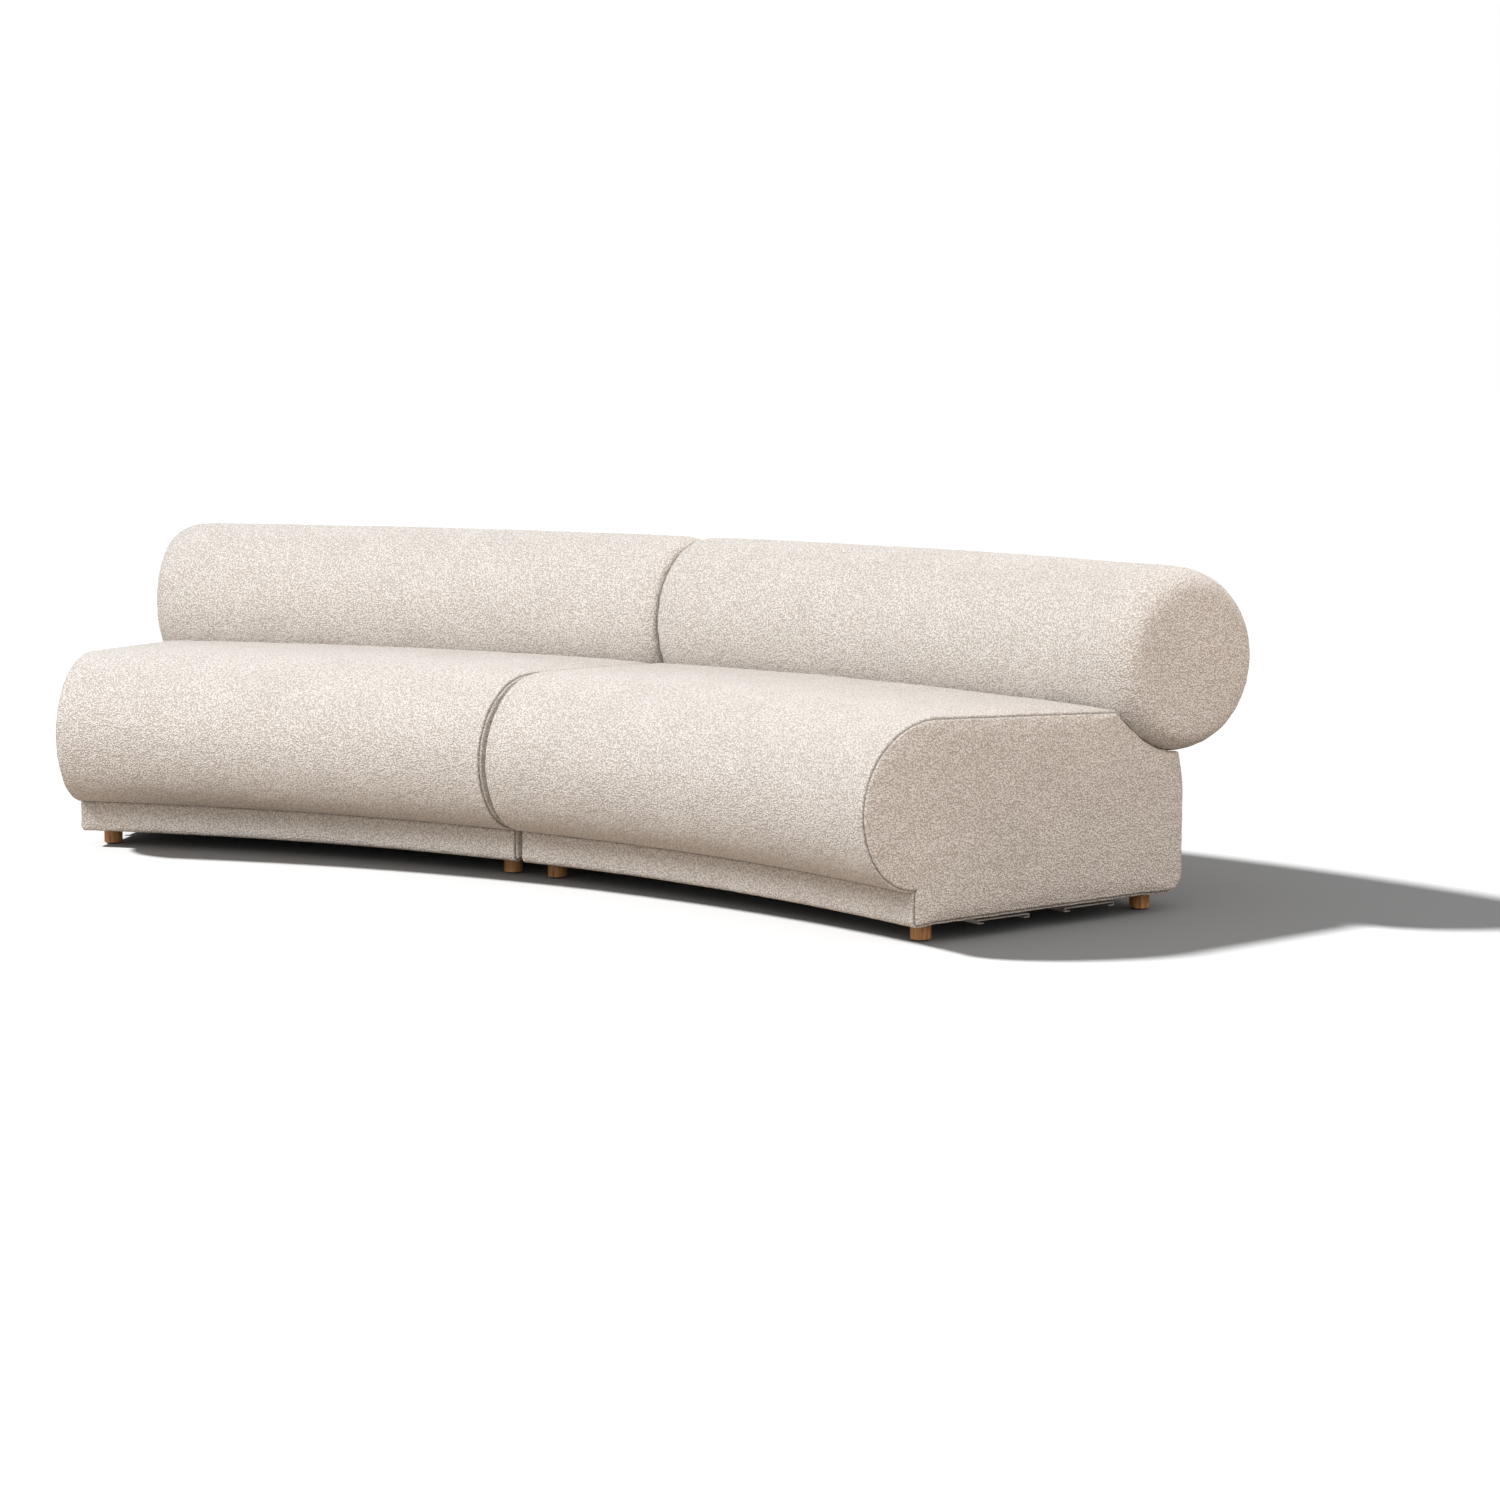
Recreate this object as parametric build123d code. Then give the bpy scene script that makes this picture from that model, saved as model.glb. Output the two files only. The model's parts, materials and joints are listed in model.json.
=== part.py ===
"""A curved two-module sofa: round-nosed upholstered bases, each carrying a fixed roll bolster as its back.

Both modules are sectors of one ring.  Sections are drawn in (u, z): u is the distance outwards from the
plinth's front face, away from the ring's centre, and z is the height above the floor.  Angles are measured
about the ring's axis from the middle of a module, towards the right seen from the front.  Everything is in
millimetres and degrees.  The two bases are the same, so one is modelled and set down twice.  The bolsters differ
only in which end is pressed flat against the neighbour and which end swells past the sofa's end.
"""

from build123d import *
from math import asin, atan2, cos, degrees, hypot, pi, radians, sin, sqrt
import os

# ---------------------------------------------------------------- driving dimensions
PLINTH_RADIUS = 3102  # plan radius of the plinth's front face
RING_HALF_SWEEP = 20.64  # from the seam between the modules to the sofa's end
SEAM_GAP = 12  # between the two bases
FABRIC = 3  # thickness of the covering cloth with its backing

BASE_HEIGHT = 35  # floor to the underside of the base
BASE_DEPTH = 704  # plinth front to the upright back
NOSE_CENTRE = (53.6, 260.5)
NOSE_RADIUS = 177.5
TUCK_ANGLE = 215  # where the nose begins to tuck in under itself
TUCK_RADIUS = 130
SEAT_FALL = 2.5  # slope of the seat towards the back
LIP_RADIUS = 20  # round edge where the seat turns down into the cradle
BACK_CURVE_RADIUS = 300  # upper part of the back leans in along this curve
BACK_CURVE_START = 227
BACK_CORNER = 40  # lower edge at the back
PLINTH_CORNER = 12  # lower edge at the front

BOLSTER_CENTRE = (689.5, 506.6)
BOLSTER_RADIUS = 188.5
BOLSTER_OVERHANG = 37  # past the base at the sofa's end
BOLSTER_OUTER_ROUND = 46
BOLSTER_GAP = 5  # between the two bolsters, which all but touch
BOLSTER_INNER_ROUND = 14
CRADLE_CLEARANCE = 2

PLY = 18  # ribs, rails and back board
SLACK = 0.4  # flat pieces are cut this much short of the curved ones beside them
BASE_BOARD = 15
NOSE_FOAM = 47
CRADLE_FOAM = 20
END_FOAM = 10  # over the end ribs and the ends of the boards
RIB_TOP = 340
RIB_DIP = 240  # the middle ribs are cut down to here, under the webbing
RAIL = 45  # square seat rails
FRONT_RAIL_U = -20
REAR_RAIL_U = 440
PLINTH_RAIL_TOP = 150
BACK_BOARD_TOP = 290
FOLD = 40  # cloth turned in under the base

STRAP_WIDTH = 60
STRAP = 2.5
RADIAL_STRAPS = 10
CROSS_STRAPS = 3
STRAP_LAP = 30  # strap stapled down on each rail

SPINE = (45, 120)  # section of the beam inside the bolster
SPINE_INSET = 120  # from the bolster's ends
BRACKET = (6, 60)  # flat bar
BRACKET_FOOT = 110
BRACKET_HEAD = 550
BRACKETS = 3
M8 = 4  # shank radius
BOLT_HEAD = (6.5, 6)  # radius, height
BOLT_DEPTH = 14  # into the wood
BOLT_HEIGHTS = (150, 250, 470, 530)

FOOT_RADIUS = 20.5
FOOT_SIDE_INSET = 53.5
FOOT_FRONT_U = 61.5
FOOT_REAR_U = 631.5
FOOT_EDGE = 1.5
GLIDE = (16, 3)  # radius, thickness
HANGER_BOLT = (10, 54)  # lowest and highest point
TEE_NUT_BARREL = (5.2, 10)  # radius, length down into the board
TEE_NUT_FLANGE = (11, 1.6)

RECEIVER_STARTS = (162, 384)  # u of each receiver's front edge
RECEIVER = (130, 50, 8)  # along u, inwards from the module's end, height
RECEIVER_WALL = 2
RECEIVER_LIP = 12
RECEIVER_RECESS = 2  # from the module's end
LINK_PLATE = (124, 94, 3.2)  # along u, across the seam, thickness

# ---------------------------------------------------------------- worked out from them
BACK_RADIUS = PLINTH_RADIUS + BASE_DEPTH
MEAN_RADIUS = (PLINTH_RADIUS + BACK_RADIUS) / 2
HALF_SEAM = degrees(SEAM_GAP / 2 / MEAN_RADIUS)
HALF = (RING_HALF_SWEEP - HALF_SEAM) / 2  # half of one module
MODULE_MIDDLE = HALF_SEAM + HALF
INSIDE = HALF - degrees(FABRIC / MEAN_RADIUS)  # the same inside the end panels
FRAME_END = INSIDE - degrees(END_FOAM / MEAN_RADIUS)  # the same inside the foam over the end ribs
BOLSTER_AXIS = PLINTH_RADIUS + BOLSTER_CENTRE[0]
BOLSTER_OUTER = HALF + degrees(BOLSTER_OVERHANG / BOLSTER_AXIS)
BOLSTER_INNER = MODULE_MIDDLE - degrees(BOLSTER_GAP / 2 / BOLSTER_AXIS)
BOLSTER_CLOTH = degrees(FABRIC / BOLSTER_AXIS)
CRADLE_RADIUS = BOLSTER_RADIUS + CRADLE_CLEARANCE
FLOOR_OF_FRAME = BASE_HEIGHT + FABRIC
BOARD_TOP = FLOOR_OF_FRAME + BASE_BOARD
BOARD_INNER_U = BASE_DEPTH - FABRIC - PLY
BRACKET_U = BOARD_INNER_U - SLACK - BRACKET[0]
WEBBING_TOP = RIB_TOP + 2 * STRAP


def polar(centre, radius, angle):
    return (centre[0] + radius * cos(radians(angle)), centre[1] + radius * sin(radians(angle)))


def direction(start, end):
    return degrees(atan2(end[1] - start[1], end[0] - start[0])) % 360


def arc(centre, radius, start, end):
    """An arc from one direction to another, the short way, given in degrees."""
    return CenterArc(centre, radius, start, (end - start + 180) % 360 - 180)


def box_section(u0, u1, z0, z1):
    return Pos((u0 + u1) / 2, (z0 + z1) / 2) * Rectangle(u1 - u0, z1 - z0)


TUCK_CENTRE = polar(NOSE_CENTRE, NOSE_RADIUS - TUCK_RADIUS, TUCK_ANGLE)
BACK_CURVE_CENTRE = (BASE_DEPTH - BACK_CURVE_RADIUS, BACK_CURVE_START)
UP = 90 - SEAT_FALL  # the direction at right angles to the seat


def lip_centre():
    """The point that is LIP_RADIUS below the seat's line and as far outside the cradle's circle."""
    start = polar(NOSE_CENTRE, NOSE_RADIUS - LIP_RADIUS, UP)
    along = (cos(radians(SEAT_FALL)), -sin(radians(SEAT_FALL)))
    to_start = (start[0] - BOLSTER_CENTRE[0], start[1] - BOLSTER_CENTRE[1])
    half_b = along[0] * to_start[0] + along[1] * to_start[1]
    gap = to_start[0] ** 2 + to_start[1] ** 2 - (CRADLE_RADIUS + LIP_RADIUS) ** 2
    run = -half_b - sqrt(half_b**2 - gap)
    return (start[0] + run * along[0], start[1] + run * along[1])


LIP_CENTRE = lip_centre()


def plinth_corner(inset):
    """Where the nose tucks in against the plinth's front."""
    reach = TUCK_RADIUS - inset
    return (inset, TUCK_CENTRE[1] - sqrt(reach**2 - (inset - TUCK_CENTRE[0]) ** 2))


def cradle_end(inset):
    """Where the cradle meets the curved upper part of the back."""
    r1, r2 = CRADLE_RADIUS + inset, BACK_CURVE_RADIUS - inset
    du = BACK_CURVE_CENTRE[0] - BOLSTER_CENTRE[0]
    dz = BACK_CURVE_CENTRE[1] - BOLSTER_CENTRE[1]
    apart = hypot(du, dz)
    along = (r1**2 - r2**2 + apart**2) / (2 * apart)
    aside = sqrt(r1**2 - along**2)
    u = BOLSTER_CENTRE[0] + (along * du - aside * dz) / apart
    z = BOLSTER_CENTRE[1] + (along * dz + aside * du) / apart
    return (u, z)


def seat_section(inset):
    """The base's whole section, with every face moved inwards by inset."""
    nose, tuck, lip = NOSE_RADIUS - inset, TUCK_RADIUS - inset, LIP_RADIUS - inset
    cradle, back_curve = CRADLE_RADIUS + inset, BACK_CURVE_RADIUS - inset
    low, front, back = BASE_HEIGHT + inset, inset, BASE_DEPTH - inset
    corner, rear = plinth_corner(inset), cradle_end(inset)
    lip_down = direction(LIP_CENTRE, BOLSTER_CENTRE)
    heel = (BASE_DEPTH - BACK_CORNER, BASE_HEIGHT + BACK_CORNER)
    toe = (PLINTH_CORNER, BASE_HEIGHT + PLINTH_CORNER)
    edges = [
        Line((front, toe[1]), corner),
        arc(TUCK_CENTRE, tuck, direction(TUCK_CENTRE, corner), TUCK_ANGLE),
        arc(NOSE_CENTRE, nose, TUCK_ANGLE, TUCK_ANGLE - 70),
        arc(NOSE_CENTRE, nose, TUCK_ANGLE - 70, UP),
        Line(polar(NOSE_CENTRE, nose, UP), polar(LIP_CENTRE, lip, UP)),
        arc(LIP_CENTRE, lip, UP, lip_down),
        arc(BOLSTER_CENTRE, cradle, lip_down + 180, direction(BOLSTER_CENTRE, rear)),
        arc(BACK_CURVE_CENTRE, back_curve, direction(BACK_CURVE_CENTRE, rear), 0),
        Line((back, BACK_CURVE_START), (back, heel[1])),
        arc(heel, BACK_CORNER - inset, 0, -90),
        Line((heel[0], low), (toe[0], low)),
        arc(toe, PLINTH_CORNER - inset, -90, -180),
    ]
    return make_face(Wire(edges))


def sector(section, start, end):
    """A section carried round the ring from one angle to another."""
    placed = Plane.XZ * Pos(PLINTH_RADIUS, 0) * section
    return Rot(0, 0, 90 - end) * revolve(placed, Axis.Z, end - start)


def rib(section, angle, thickness):
    """A flat rib whose first face is on the plane at that angle; a negative thickness goes back from it."""
    placed = Plane.XZ * Pos(PLINTH_RADIUS, 0) * section
    return Rot(0, 0, 90 - angle) * extrude(placed, amount=thickness)


def at(u, z, angle, shape):
    """Puts a shape, drawn with X outwards and Z up, at a place on the ring."""
    return Rot(0, 0, 90 - angle) * Pos(PLINTH_RADIUS + u, 0, z) * shape


def block(u0, u1, z0, z1, angle, width):
    """A bar of that width across, square to the radius at that angle."""
    return at((u0 + u1) / 2, (z0 + z1) / 2, angle, Box(u1 - u0, width, z1 - z0))


def upright(u, angle, radius, z0, z1):
    """An upright cylinder."""
    return at(u, (z0 + z1) / 2, angle, Cylinder(radius, z1 - z0))


def join(shapes):
    return Compound(children=[solid for shape in shapes for solid in shape.solids()])


def less(shape, *cutters):
    for cutter in cutters:
        for solid in cutter.solids():
            shape = shape - solid
    return shape


# ---------------------------------------------------------------- the sections
OUTER = seat_section(0)
INNER = seat_section(FABRIC)
CLOTH = OUTER - INNER
SPINE_SECTION = box_section(
    BOARD_INNER_U,
    BOARD_INNER_U + SPINE[0],
    BOLSTER_CENTRE[1] - SPINE[1] / 2,
    BOLSTER_CENTRE[1] + SPINE[1] / 2,
)


def frame_section(top, slack=0.0):
    """The space inside the foam, up to a given height: the round nose form and the body behind it."""
    nose = Pos(*NOSE_CENTRE) * Circle(NOSE_RADIUS - FABRIC - NOSE_FOAM - slack)
    nose &= box_section(-BASE_DEPTH, BASE_DEPTH, 0, top)
    body = box_section(FABRIC + PLY + slack, BOARD_INNER_U - slack, BOARD_TOP, top)
    cradle = Pos(*BOLSTER_CENTRE) * Circle(CRADLE_RADIUS + FABRIC + CRADLE_FOAM + slack)
    return nose + body - cradle


def cloth_sections():
    """The covering cloth's section, divided where its panels are sewn or stapled."""
    front0, front3 = plinth_corner(0), plinth_corner(FABRIC)
    rear0, rear3 = cradle_end(0), cradle_end(FABRIC)
    below = BASE_HEIGHT - FOLD
    fold_top = BOARD_TOP
    front_zone = Polyline(
        (-FOLD, below), (-FOLD, front0[1]), front0, front3, (FOLD, front3[1]), (FOLD, below), close=True
    )
    heel_u = BASE_DEPTH - BACK_CORNER
    back_zone = Polyline(
        (heel_u - FOLD, below),
        (BASE_DEPTH + FOLD, below),
        (BASE_DEPTH + FOLD, rear0[1]),
        rear0,
        rear3,
        (heel_u, rear3[1] - FOLD),
        (heel_u, fold_top),
        (heel_u - FOLD, fold_top),
        close=True,
    )
    plinth = CLOTH & make_face(front_zone)
    back = CLOTH & make_face(back_zone)
    under = CLOTH & box_section(FOLD, heel_u - FOLD, below, fold_top)
    top = CLOTH - make_face(front_zone) - make_face(back_zone) - box_section(FOLD, heel_u - FOLD, below, fold_top)
    return {"plinth_band": plinth, "back_panel": back, "dust_cover": under, "seat_cover": top}


# ---------------------------------------------------------------- the pieces
def frame_pieces():
    """Plywood and timber inside the base."""
    board_section = INNER & box_section(-FOLD, BASE_DEPTH, 0, BOARD_TOP)
    plinth_section = box_section(FABRIC, FABRIC + PLY, BOARD_TOP, PLINTH_RAIL_TOP)
    back_section = INNER & box_section(BOARD_INNER_U, BASE_DEPTH, BOARD_TOP, BACK_BOARD_TOP)
    rails = {}
    for name, u in (("seat_front_rail", FRONT_RAIL_U), ("seat_rear_rail", REAR_RAIL_U)):
        end = FRAME_END - degrees((PLY + SLACK) / (PLINTH_RADIUS + u))
        rails[name] = sector(box_section(u, u + RAIL, RIB_TOP - RAIL, RIB_TOP), -end, end)

    side = frame_section(RIB_TOP, SLACK)
    plinth_notch = box_section(-SLACK, FABRIC + PLY + SLACK, 0, PLINTH_RAIL_TOP + SLACK)
    end_side = side - plinth_notch
    middle_side = end_side - box_section(
        FRONT_RAIL_U - SLACK, FRONT_RAIL_U + RAIL + SLACK, RIB_TOP - RAIL - SLACK, RIB_TOP + RAIL
    )
    middle_side -= box_section(
        REAR_RAIL_U - SLACK, REAR_RAIL_U + RAIL + SLACK, RIB_TOP - RAIL - SLACK, RIB_TOP + RAIL
    )
    middle_side -= box_section(FRONT_RAIL_U + RAIL + PLY, REAR_RAIL_U - PLY, RIB_DIP, RIB_TOP + RAIL)
    return {
        "base_board": sector(board_section, -FRAME_END, FRAME_END),
        "plinth_rail": sector(plinth_section, -FRAME_END, FRAME_END),
        "back_board": sector(back_section, -FRAME_END, FRAME_END),
        "end_rib_low": rib(end_side, -FRAME_END, PLY),
        "end_rib_high": rib(end_side, FRAME_END, -PLY),
        "mid_ribs": join([rib(middle_side, -FRAME_END / 3, PLY), rib(middle_side, FRAME_END / 3, -PLY)]),
        **rails,
    }


def seat_webbing():
    """Elastic straps from rail to rail, with cross straps laid over them."""
    u0, u1 = FRONT_RAIL_U + RAIL - STRAP_LAP, REAR_RAIL_U + STRAP_LAP
    step = 2 * FRAME_END / RADIAL_STRAPS
    radial = [
        block(u0, u1, RIB_TOP, RIB_TOP + STRAP, step * (i + 0.5) - FRAME_END, STRAP_WIDTH)
        for i in range(RADIAL_STRAPS)
    ]
    end = FRAME_END - degrees(PLY / MEAN_RADIUS)
    spacing = (REAR_RAIL_U - FRONT_RAIL_U - RAIL) / (CROSS_STRAPS + 1)
    cross = []
    for i in range(CROSS_STRAPS):
        middle = FRONT_RAIL_U + RAIL + spacing * (i + 1)
        section = box_section(
            middle - STRAP_WIDTH / 2, middle + STRAP_WIDTH / 2, RIB_TOP + STRAP, WEBBING_TOP
        )
        cross.append(sector(section, -end, end))
    return join(radial + cross)


def seat_foam():
    solid_parts = box_section(-FOLD, BASE_DEPTH, 0, BOARD_TOP) + box_section(
        0, FABRIC + PLY, 0, PLINTH_RAIL_TOP
    )
    solid_parts += box_section(BOARD_INNER_U, BASE_DEPTH, 0, BACK_BOARD_TOP)
    between = sector(INNER - frame_section(WEBBING_TOP) - solid_parts, -FRAME_END, FRAME_END)
    return sector(INNER, -INSIDE, -FRAME_END) + between + sector(INNER, FRAME_END, INSIDE)


def roll(inset, outer_side):
    """The bolster's roll, its skin moved inwards by inset; outer_side is 1 or -1, the way its free end faces."""
    radius, cloth = BOLSTER_RADIUS - inset, BOLSTER_CLOTH * inset / FABRIC
    ends = sorted([-outer_side * (BOLSTER_INNER - cloth), outer_side * (BOLSTER_OUTER - cloth)])
    whole = sector(Pos(*BOLSTER_CENTRE) * Circle(radius), *ends)
    rims = [edge for edge in whole.edges() if edge.geom_type == GeomType.CIRCLE]
    rims = [edge for edge in rims if abs(edge.radius - radius) < 0.01 and edge.length > 6 * radius]
    rims = sorted(rims, key=lambda edge: outer_side * edge.arc_center.X)
    inner_rounded = fillet(rims[0], BOLSTER_INNER_ROUND - inset)
    rims = [edge for edge in inner_rounded.edges() if edge.geom_type == GeomType.CIRCLE]
    rims = [edge for edge in rims if abs(edge.radius - radius) < 0.01 and edge.length > 6 * radius]
    return fillet(max(rims, key=lambda edge: outer_side * edge.arc_center.X), BOLSTER_OUTER_ROUND - inset)


def bracket_angles():
    return [2 * INSIDE * ((i + 0.5) / BRACKETS - 0.5) for i in range(BRACKETS)]


def bracket_bolts():
    radius, height = BOLT_HEAD
    bolts = []
    for angle in bracket_angles():
        for z in BOLT_HEIGHTS:
            head = Pos(-height / 2, 0, 0) * Rot(0, 90, 0) * Cylinder(radius, height)
            length = BRACKET[0] + BOLT_DEPTH
            shank = Pos(length / 2, 0, 0) * Rot(0, 90, 0) * Cylinder(M8, length)
            bolts.append(at(BRACKET_U, z, angle, head + shank))
    return join(bolts)


def foot_places():
    """Name, u and angle of each foot."""
    places = {}
    for row, u in (("front", FOOT_FRONT_U), ("rear", FOOT_REAR_U)):
        inset = degrees(asin(FOOT_SIDE_INSET / (PLINTH_RADIUS + u)))
        places[f"foot_{row}_low"] = (u, inset - HALF)
        places[f"foot_{row}_high"] = (u, HALF - inset)
    return places


def foot(u, angle, bolt):
    body = Cylinder(FOOT_RADIUS, BASE_HEIGHT - GLIDE[1])
    body = fillet(body.edges().filter_by(GeomType.CIRCLE), FOOT_EDGE)
    return at(u, (BASE_HEIGHT + GLIDE[1]) / 2, angle, body) - bolt


def tee_nut(u, angle, bolt):
    barrel_radius, barrel = TEE_NUT_BARREL
    flange_radius, flange = TEE_NUT_FLANGE
    whole = upright(u, angle, barrel_radius, BOARD_TOP - barrel, BOARD_TOP)
    whole += upright(u, angle, flange_radius, BOARD_TOP, BOARD_TOP + flange)
    return whole - bolt


def receiver():
    """A steel channel drawn with X outwards and Y into the module, from its front corner at the base."""
    width, depth, height = RECEIVER
    wall, lip = RECEIVER_WALL, RECEIVER_LIP
    outer = box_section(0, width, -height, 0)
    inside = box_section(wall, width - wall, wall - height, -wall)
    mouth = box_section(wall + lip, width - wall - lip, -height, wall - height)
    return extrude(Plane.XZ * (outer - inside - mouth), amount=depth)


def link_receivers():
    """Two channels under each end of the module, open towards the next module."""
    found = []
    for u in RECEIVER_STARTS:
        low_end = Pos(0, -RECEIVER_RECESS, 0) * receiver()
        high_end = Pos(0, RECEIVER[1] + RECEIVER_RECESS, 0) * receiver()
        found += [at(u, BASE_HEIGHT, -HALF, low_end), at(u, BASE_HEIGHT, HALF, high_end)]
    return join(found)


def link_plates():
    """Two steel plates that bridge the seam, one in each facing pair of channels."""
    width, across, thickness = LINK_PLATE
    z = BASE_HEIGHT - RECEIVER[2] / 2
    return join(
        at(u + RECEIVER[0] / 2, z, 0, Box(width, across, thickness)) for u in RECEIVER_STARTS
    )


def bolster_spine(bolts):
    inset = degrees(SPINE_INSET / BOLSTER_AXIS)
    return less(sector(SPINE_SECTION, inset - INSIDE, INSIDE - inset), bolts)


def bolster(outer_side, bars, bolts):
    """The foam and cover of one bolster, whose free end faces the given way."""
    core, skin = roll(FABRIC, outer_side), roll(0, outer_side)
    spine = bolster_spine(bolts)
    return {"bolster_foam": less(core, spine, bars, bolts), "bolster_cover": less(skin - core, bars)}


def module():
    """Every piece of one module but its bolster's foam and cover, and the bars and bolts that pass through them;
    low and high are its ends at the least and greatest angles."""
    pieces = frame_pieces()
    pieces["seat_webbing"] = seat_webbing()
    for name, section in cloth_sections().items():
        pieces[name] = sector(section, -INSIDE, INSIDE)
    pieces["end_panel_low"] = sector(OUTER, -HALF, -INSIDE)
    pieces["end_panel_high"] = sector(OUTER, INSIDE, HALF)

    brackets = [
        block(BRACKET_U, BRACKET_U + BRACKET[0], BRACKET_FOOT, BRACKET_HEAD, angle, BRACKET[1])
        for angle in bracket_angles()
    ]
    bars, bolts = join(brackets), bracket_bolts()
    pieces["bolster_brackets"] = join(less(bar, bolts) for bar in brackets)
    pieces["bracket_bolts"] = bolts
    pieces["bolster_spine"] = bolster_spine(bolts)
    pieces["back_board"] = less(pieces["back_board"], bolts)
    pieces["seat_foam"] = less(seat_foam(), bars)
    pieces["seat_cover"] = less(pieces["seat_cover"], bars)

    hangers, nuts, glides = [], [], []
    for name, (u, angle) in foot_places().items():
        hanger = upright(u, angle, M8, *HANGER_BOLT)
        pieces[name] = foot(u, angle, hanger)
        hangers.append(hanger)
        nuts.append(tee_nut(u, angle, hanger))
        glides.append(upright(u, angle, GLIDE[0], 0, GLIDE[1]))
    pieces["foot_bolts"] = join(hangers)
    pieces["tee_nuts"] = join(nuts)
    pieces["glides"] = join(glides)
    pieces["base_board"] = less(pieces["base_board"], pieces["foot_bolts"], pieces["tee_nuts"])
    for name in ("dust_cover", "back_panel"):
        pieces[name] = less(pieces[name], pieces["foot_bolts"])
    pieces["link_receivers"] = link_receivers()
    return pieces, bars, bolts


def footprint_middle(right):
    """Distance from the ring's axis to the middle of the sofa's depth."""
    nearest = right["end_panel_high"].bounding_box(optimal=True).min.Y
    furthest = right["bolster_cover"].bounding_box(optimal=True).max.Y
    return (nearest + furthest) / 2


def main():
    os.makedirs("parts", exist_ok=True)
    one, bars, bolts = module()
    right_pieces, left_pieces = {**one, **bolster(1, bars, bolts)}, {**one, **bolster(-1, bars, bolts)}
    right = {name: Rot(0, 0, -MODULE_MIDDLE) * shape for name, shape in right_pieces.items()}
    left = {name: Rot(0, 0, MODULE_MIDDLE) * shape for name, shape in left_pieces.items()}
    middle = footprint_middle(right)
    to_origin = Pos(0, -middle, 0)
    print("ring centre at y =", round(-middle, 4), "mm;", len(left) + len(right) + 1, "nodes")
    for name, shape in right.items():
        name = name.replace("_low", "_inner").replace("_high", "_outer")
        export_step(to_origin * shape, f"parts/right_{name}.step")
    for name, shape in left.items():
        name = name.replace("_low", "_outer").replace("_high", "_inner")
        export_step(to_origin * shape, f"parts/left_{name}.step")
    export_step(to_origin * link_plates(), "parts/link_plates.step")


main()
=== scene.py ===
# %% [markdown]
# # A curved sofa in two upholstered modules
# The sofa is two equal modules set side by side on one ring.  Each has a round-nosed, foam-padded base on
# a recessed plinth, and a fixed roll bolster for its back.  The CAD model already holds every board, bolt
# and bracket.  This lesson loads it, covers it in cloth that was really stretched over foam, and lights
# it.  Every new surface is worked out with numpy as whole arrays, then handed to Blender in one go.

import bpy
import json
import numpy as np
from math import atan2, ceil, cos, degrees, exp, hypot, pi, radians, sin, sqrt
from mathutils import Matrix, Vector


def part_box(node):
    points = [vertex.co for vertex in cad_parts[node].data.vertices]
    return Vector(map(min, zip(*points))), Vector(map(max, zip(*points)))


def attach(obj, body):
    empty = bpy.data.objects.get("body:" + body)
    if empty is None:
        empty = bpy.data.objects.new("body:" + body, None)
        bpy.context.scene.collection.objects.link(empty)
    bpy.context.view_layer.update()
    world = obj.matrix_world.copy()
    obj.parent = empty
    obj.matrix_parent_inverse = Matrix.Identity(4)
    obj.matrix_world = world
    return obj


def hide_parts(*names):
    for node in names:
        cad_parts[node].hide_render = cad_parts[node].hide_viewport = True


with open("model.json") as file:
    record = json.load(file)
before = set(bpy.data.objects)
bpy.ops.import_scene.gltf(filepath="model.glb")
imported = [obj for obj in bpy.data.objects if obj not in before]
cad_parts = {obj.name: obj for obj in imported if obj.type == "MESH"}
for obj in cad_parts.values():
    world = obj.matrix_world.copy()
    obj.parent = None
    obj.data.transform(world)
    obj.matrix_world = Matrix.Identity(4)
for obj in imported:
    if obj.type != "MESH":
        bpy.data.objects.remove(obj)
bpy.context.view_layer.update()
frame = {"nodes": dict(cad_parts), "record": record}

# %% [markdown]
# ## Sizes
# Both modules are sectors of one ring.  A section is drawn in (u, z): u is how far outwards from the
# plinth's front face, z is the height.  Lengths are in metres.  The ring's centre is found from the back
# panel's CAD box, so the new cloth is bound to land where the CAD says.

# %% Shared sizes
MM = 0.001
PLINTH_RADIUS = 3.102
BASE_DEPTH = 0.704
BASE_HEIGHT = 0.035
SEAM_GAP = 0.012
RING_HALF_SWEEP = radians(20.64)
CLOTH = 0.003

NOSE_CENTRE, NOSE_RADIUS = (0.0536, 0.2605), 0.1775
TUCK_ANGLE, TUCK_RADIUS = 215.0, 0.130
SEAT_FALL = 2.5
LIP_RADIUS = 0.020
BACK_CURVE_RADIUS, BACK_CURVE_START = 0.300, 0.227
BACK_CORNER, PLINTH_CORNER = 0.040, 0.012
BOLSTER_CENTRE, BOLSTER_RADIUS = (0.6895, 0.5066), 0.1885
BOLSTER_OVERHANG, BOLSTER_GAP = 0.037, 0.005
ROLL_RUN, ROLL_DROP = 0.080, 0.044
INNER_RUN, INNER_DROP = 0.052, 0.016
ROLL_DOME = 0.003
CRADLE_RADIUS = 0.1905

MEAN_RADIUS = PLINTH_RADIUS + BASE_DEPTH / 2
HALF_SEAM = SEAM_GAP / 2 / MEAN_RADIUS
HALF = (RING_HALF_SWEEP - HALF_SEAM) / 2
MODULE_MIDDLE = HALF_SEAM + HALF
INSIDE = HALF - CLOTH / MEAN_RADIUS

back_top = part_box("right_back_panel")[1]
RING_Y = back_top.y - (PLINTH_RADIUS + BASE_DEPTH) * cos(MODULE_MIDDLE - INSIDE)
print("ring centre y", round(RING_Y, 5), "module half angle", round(degrees(HALF), 3))

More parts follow.
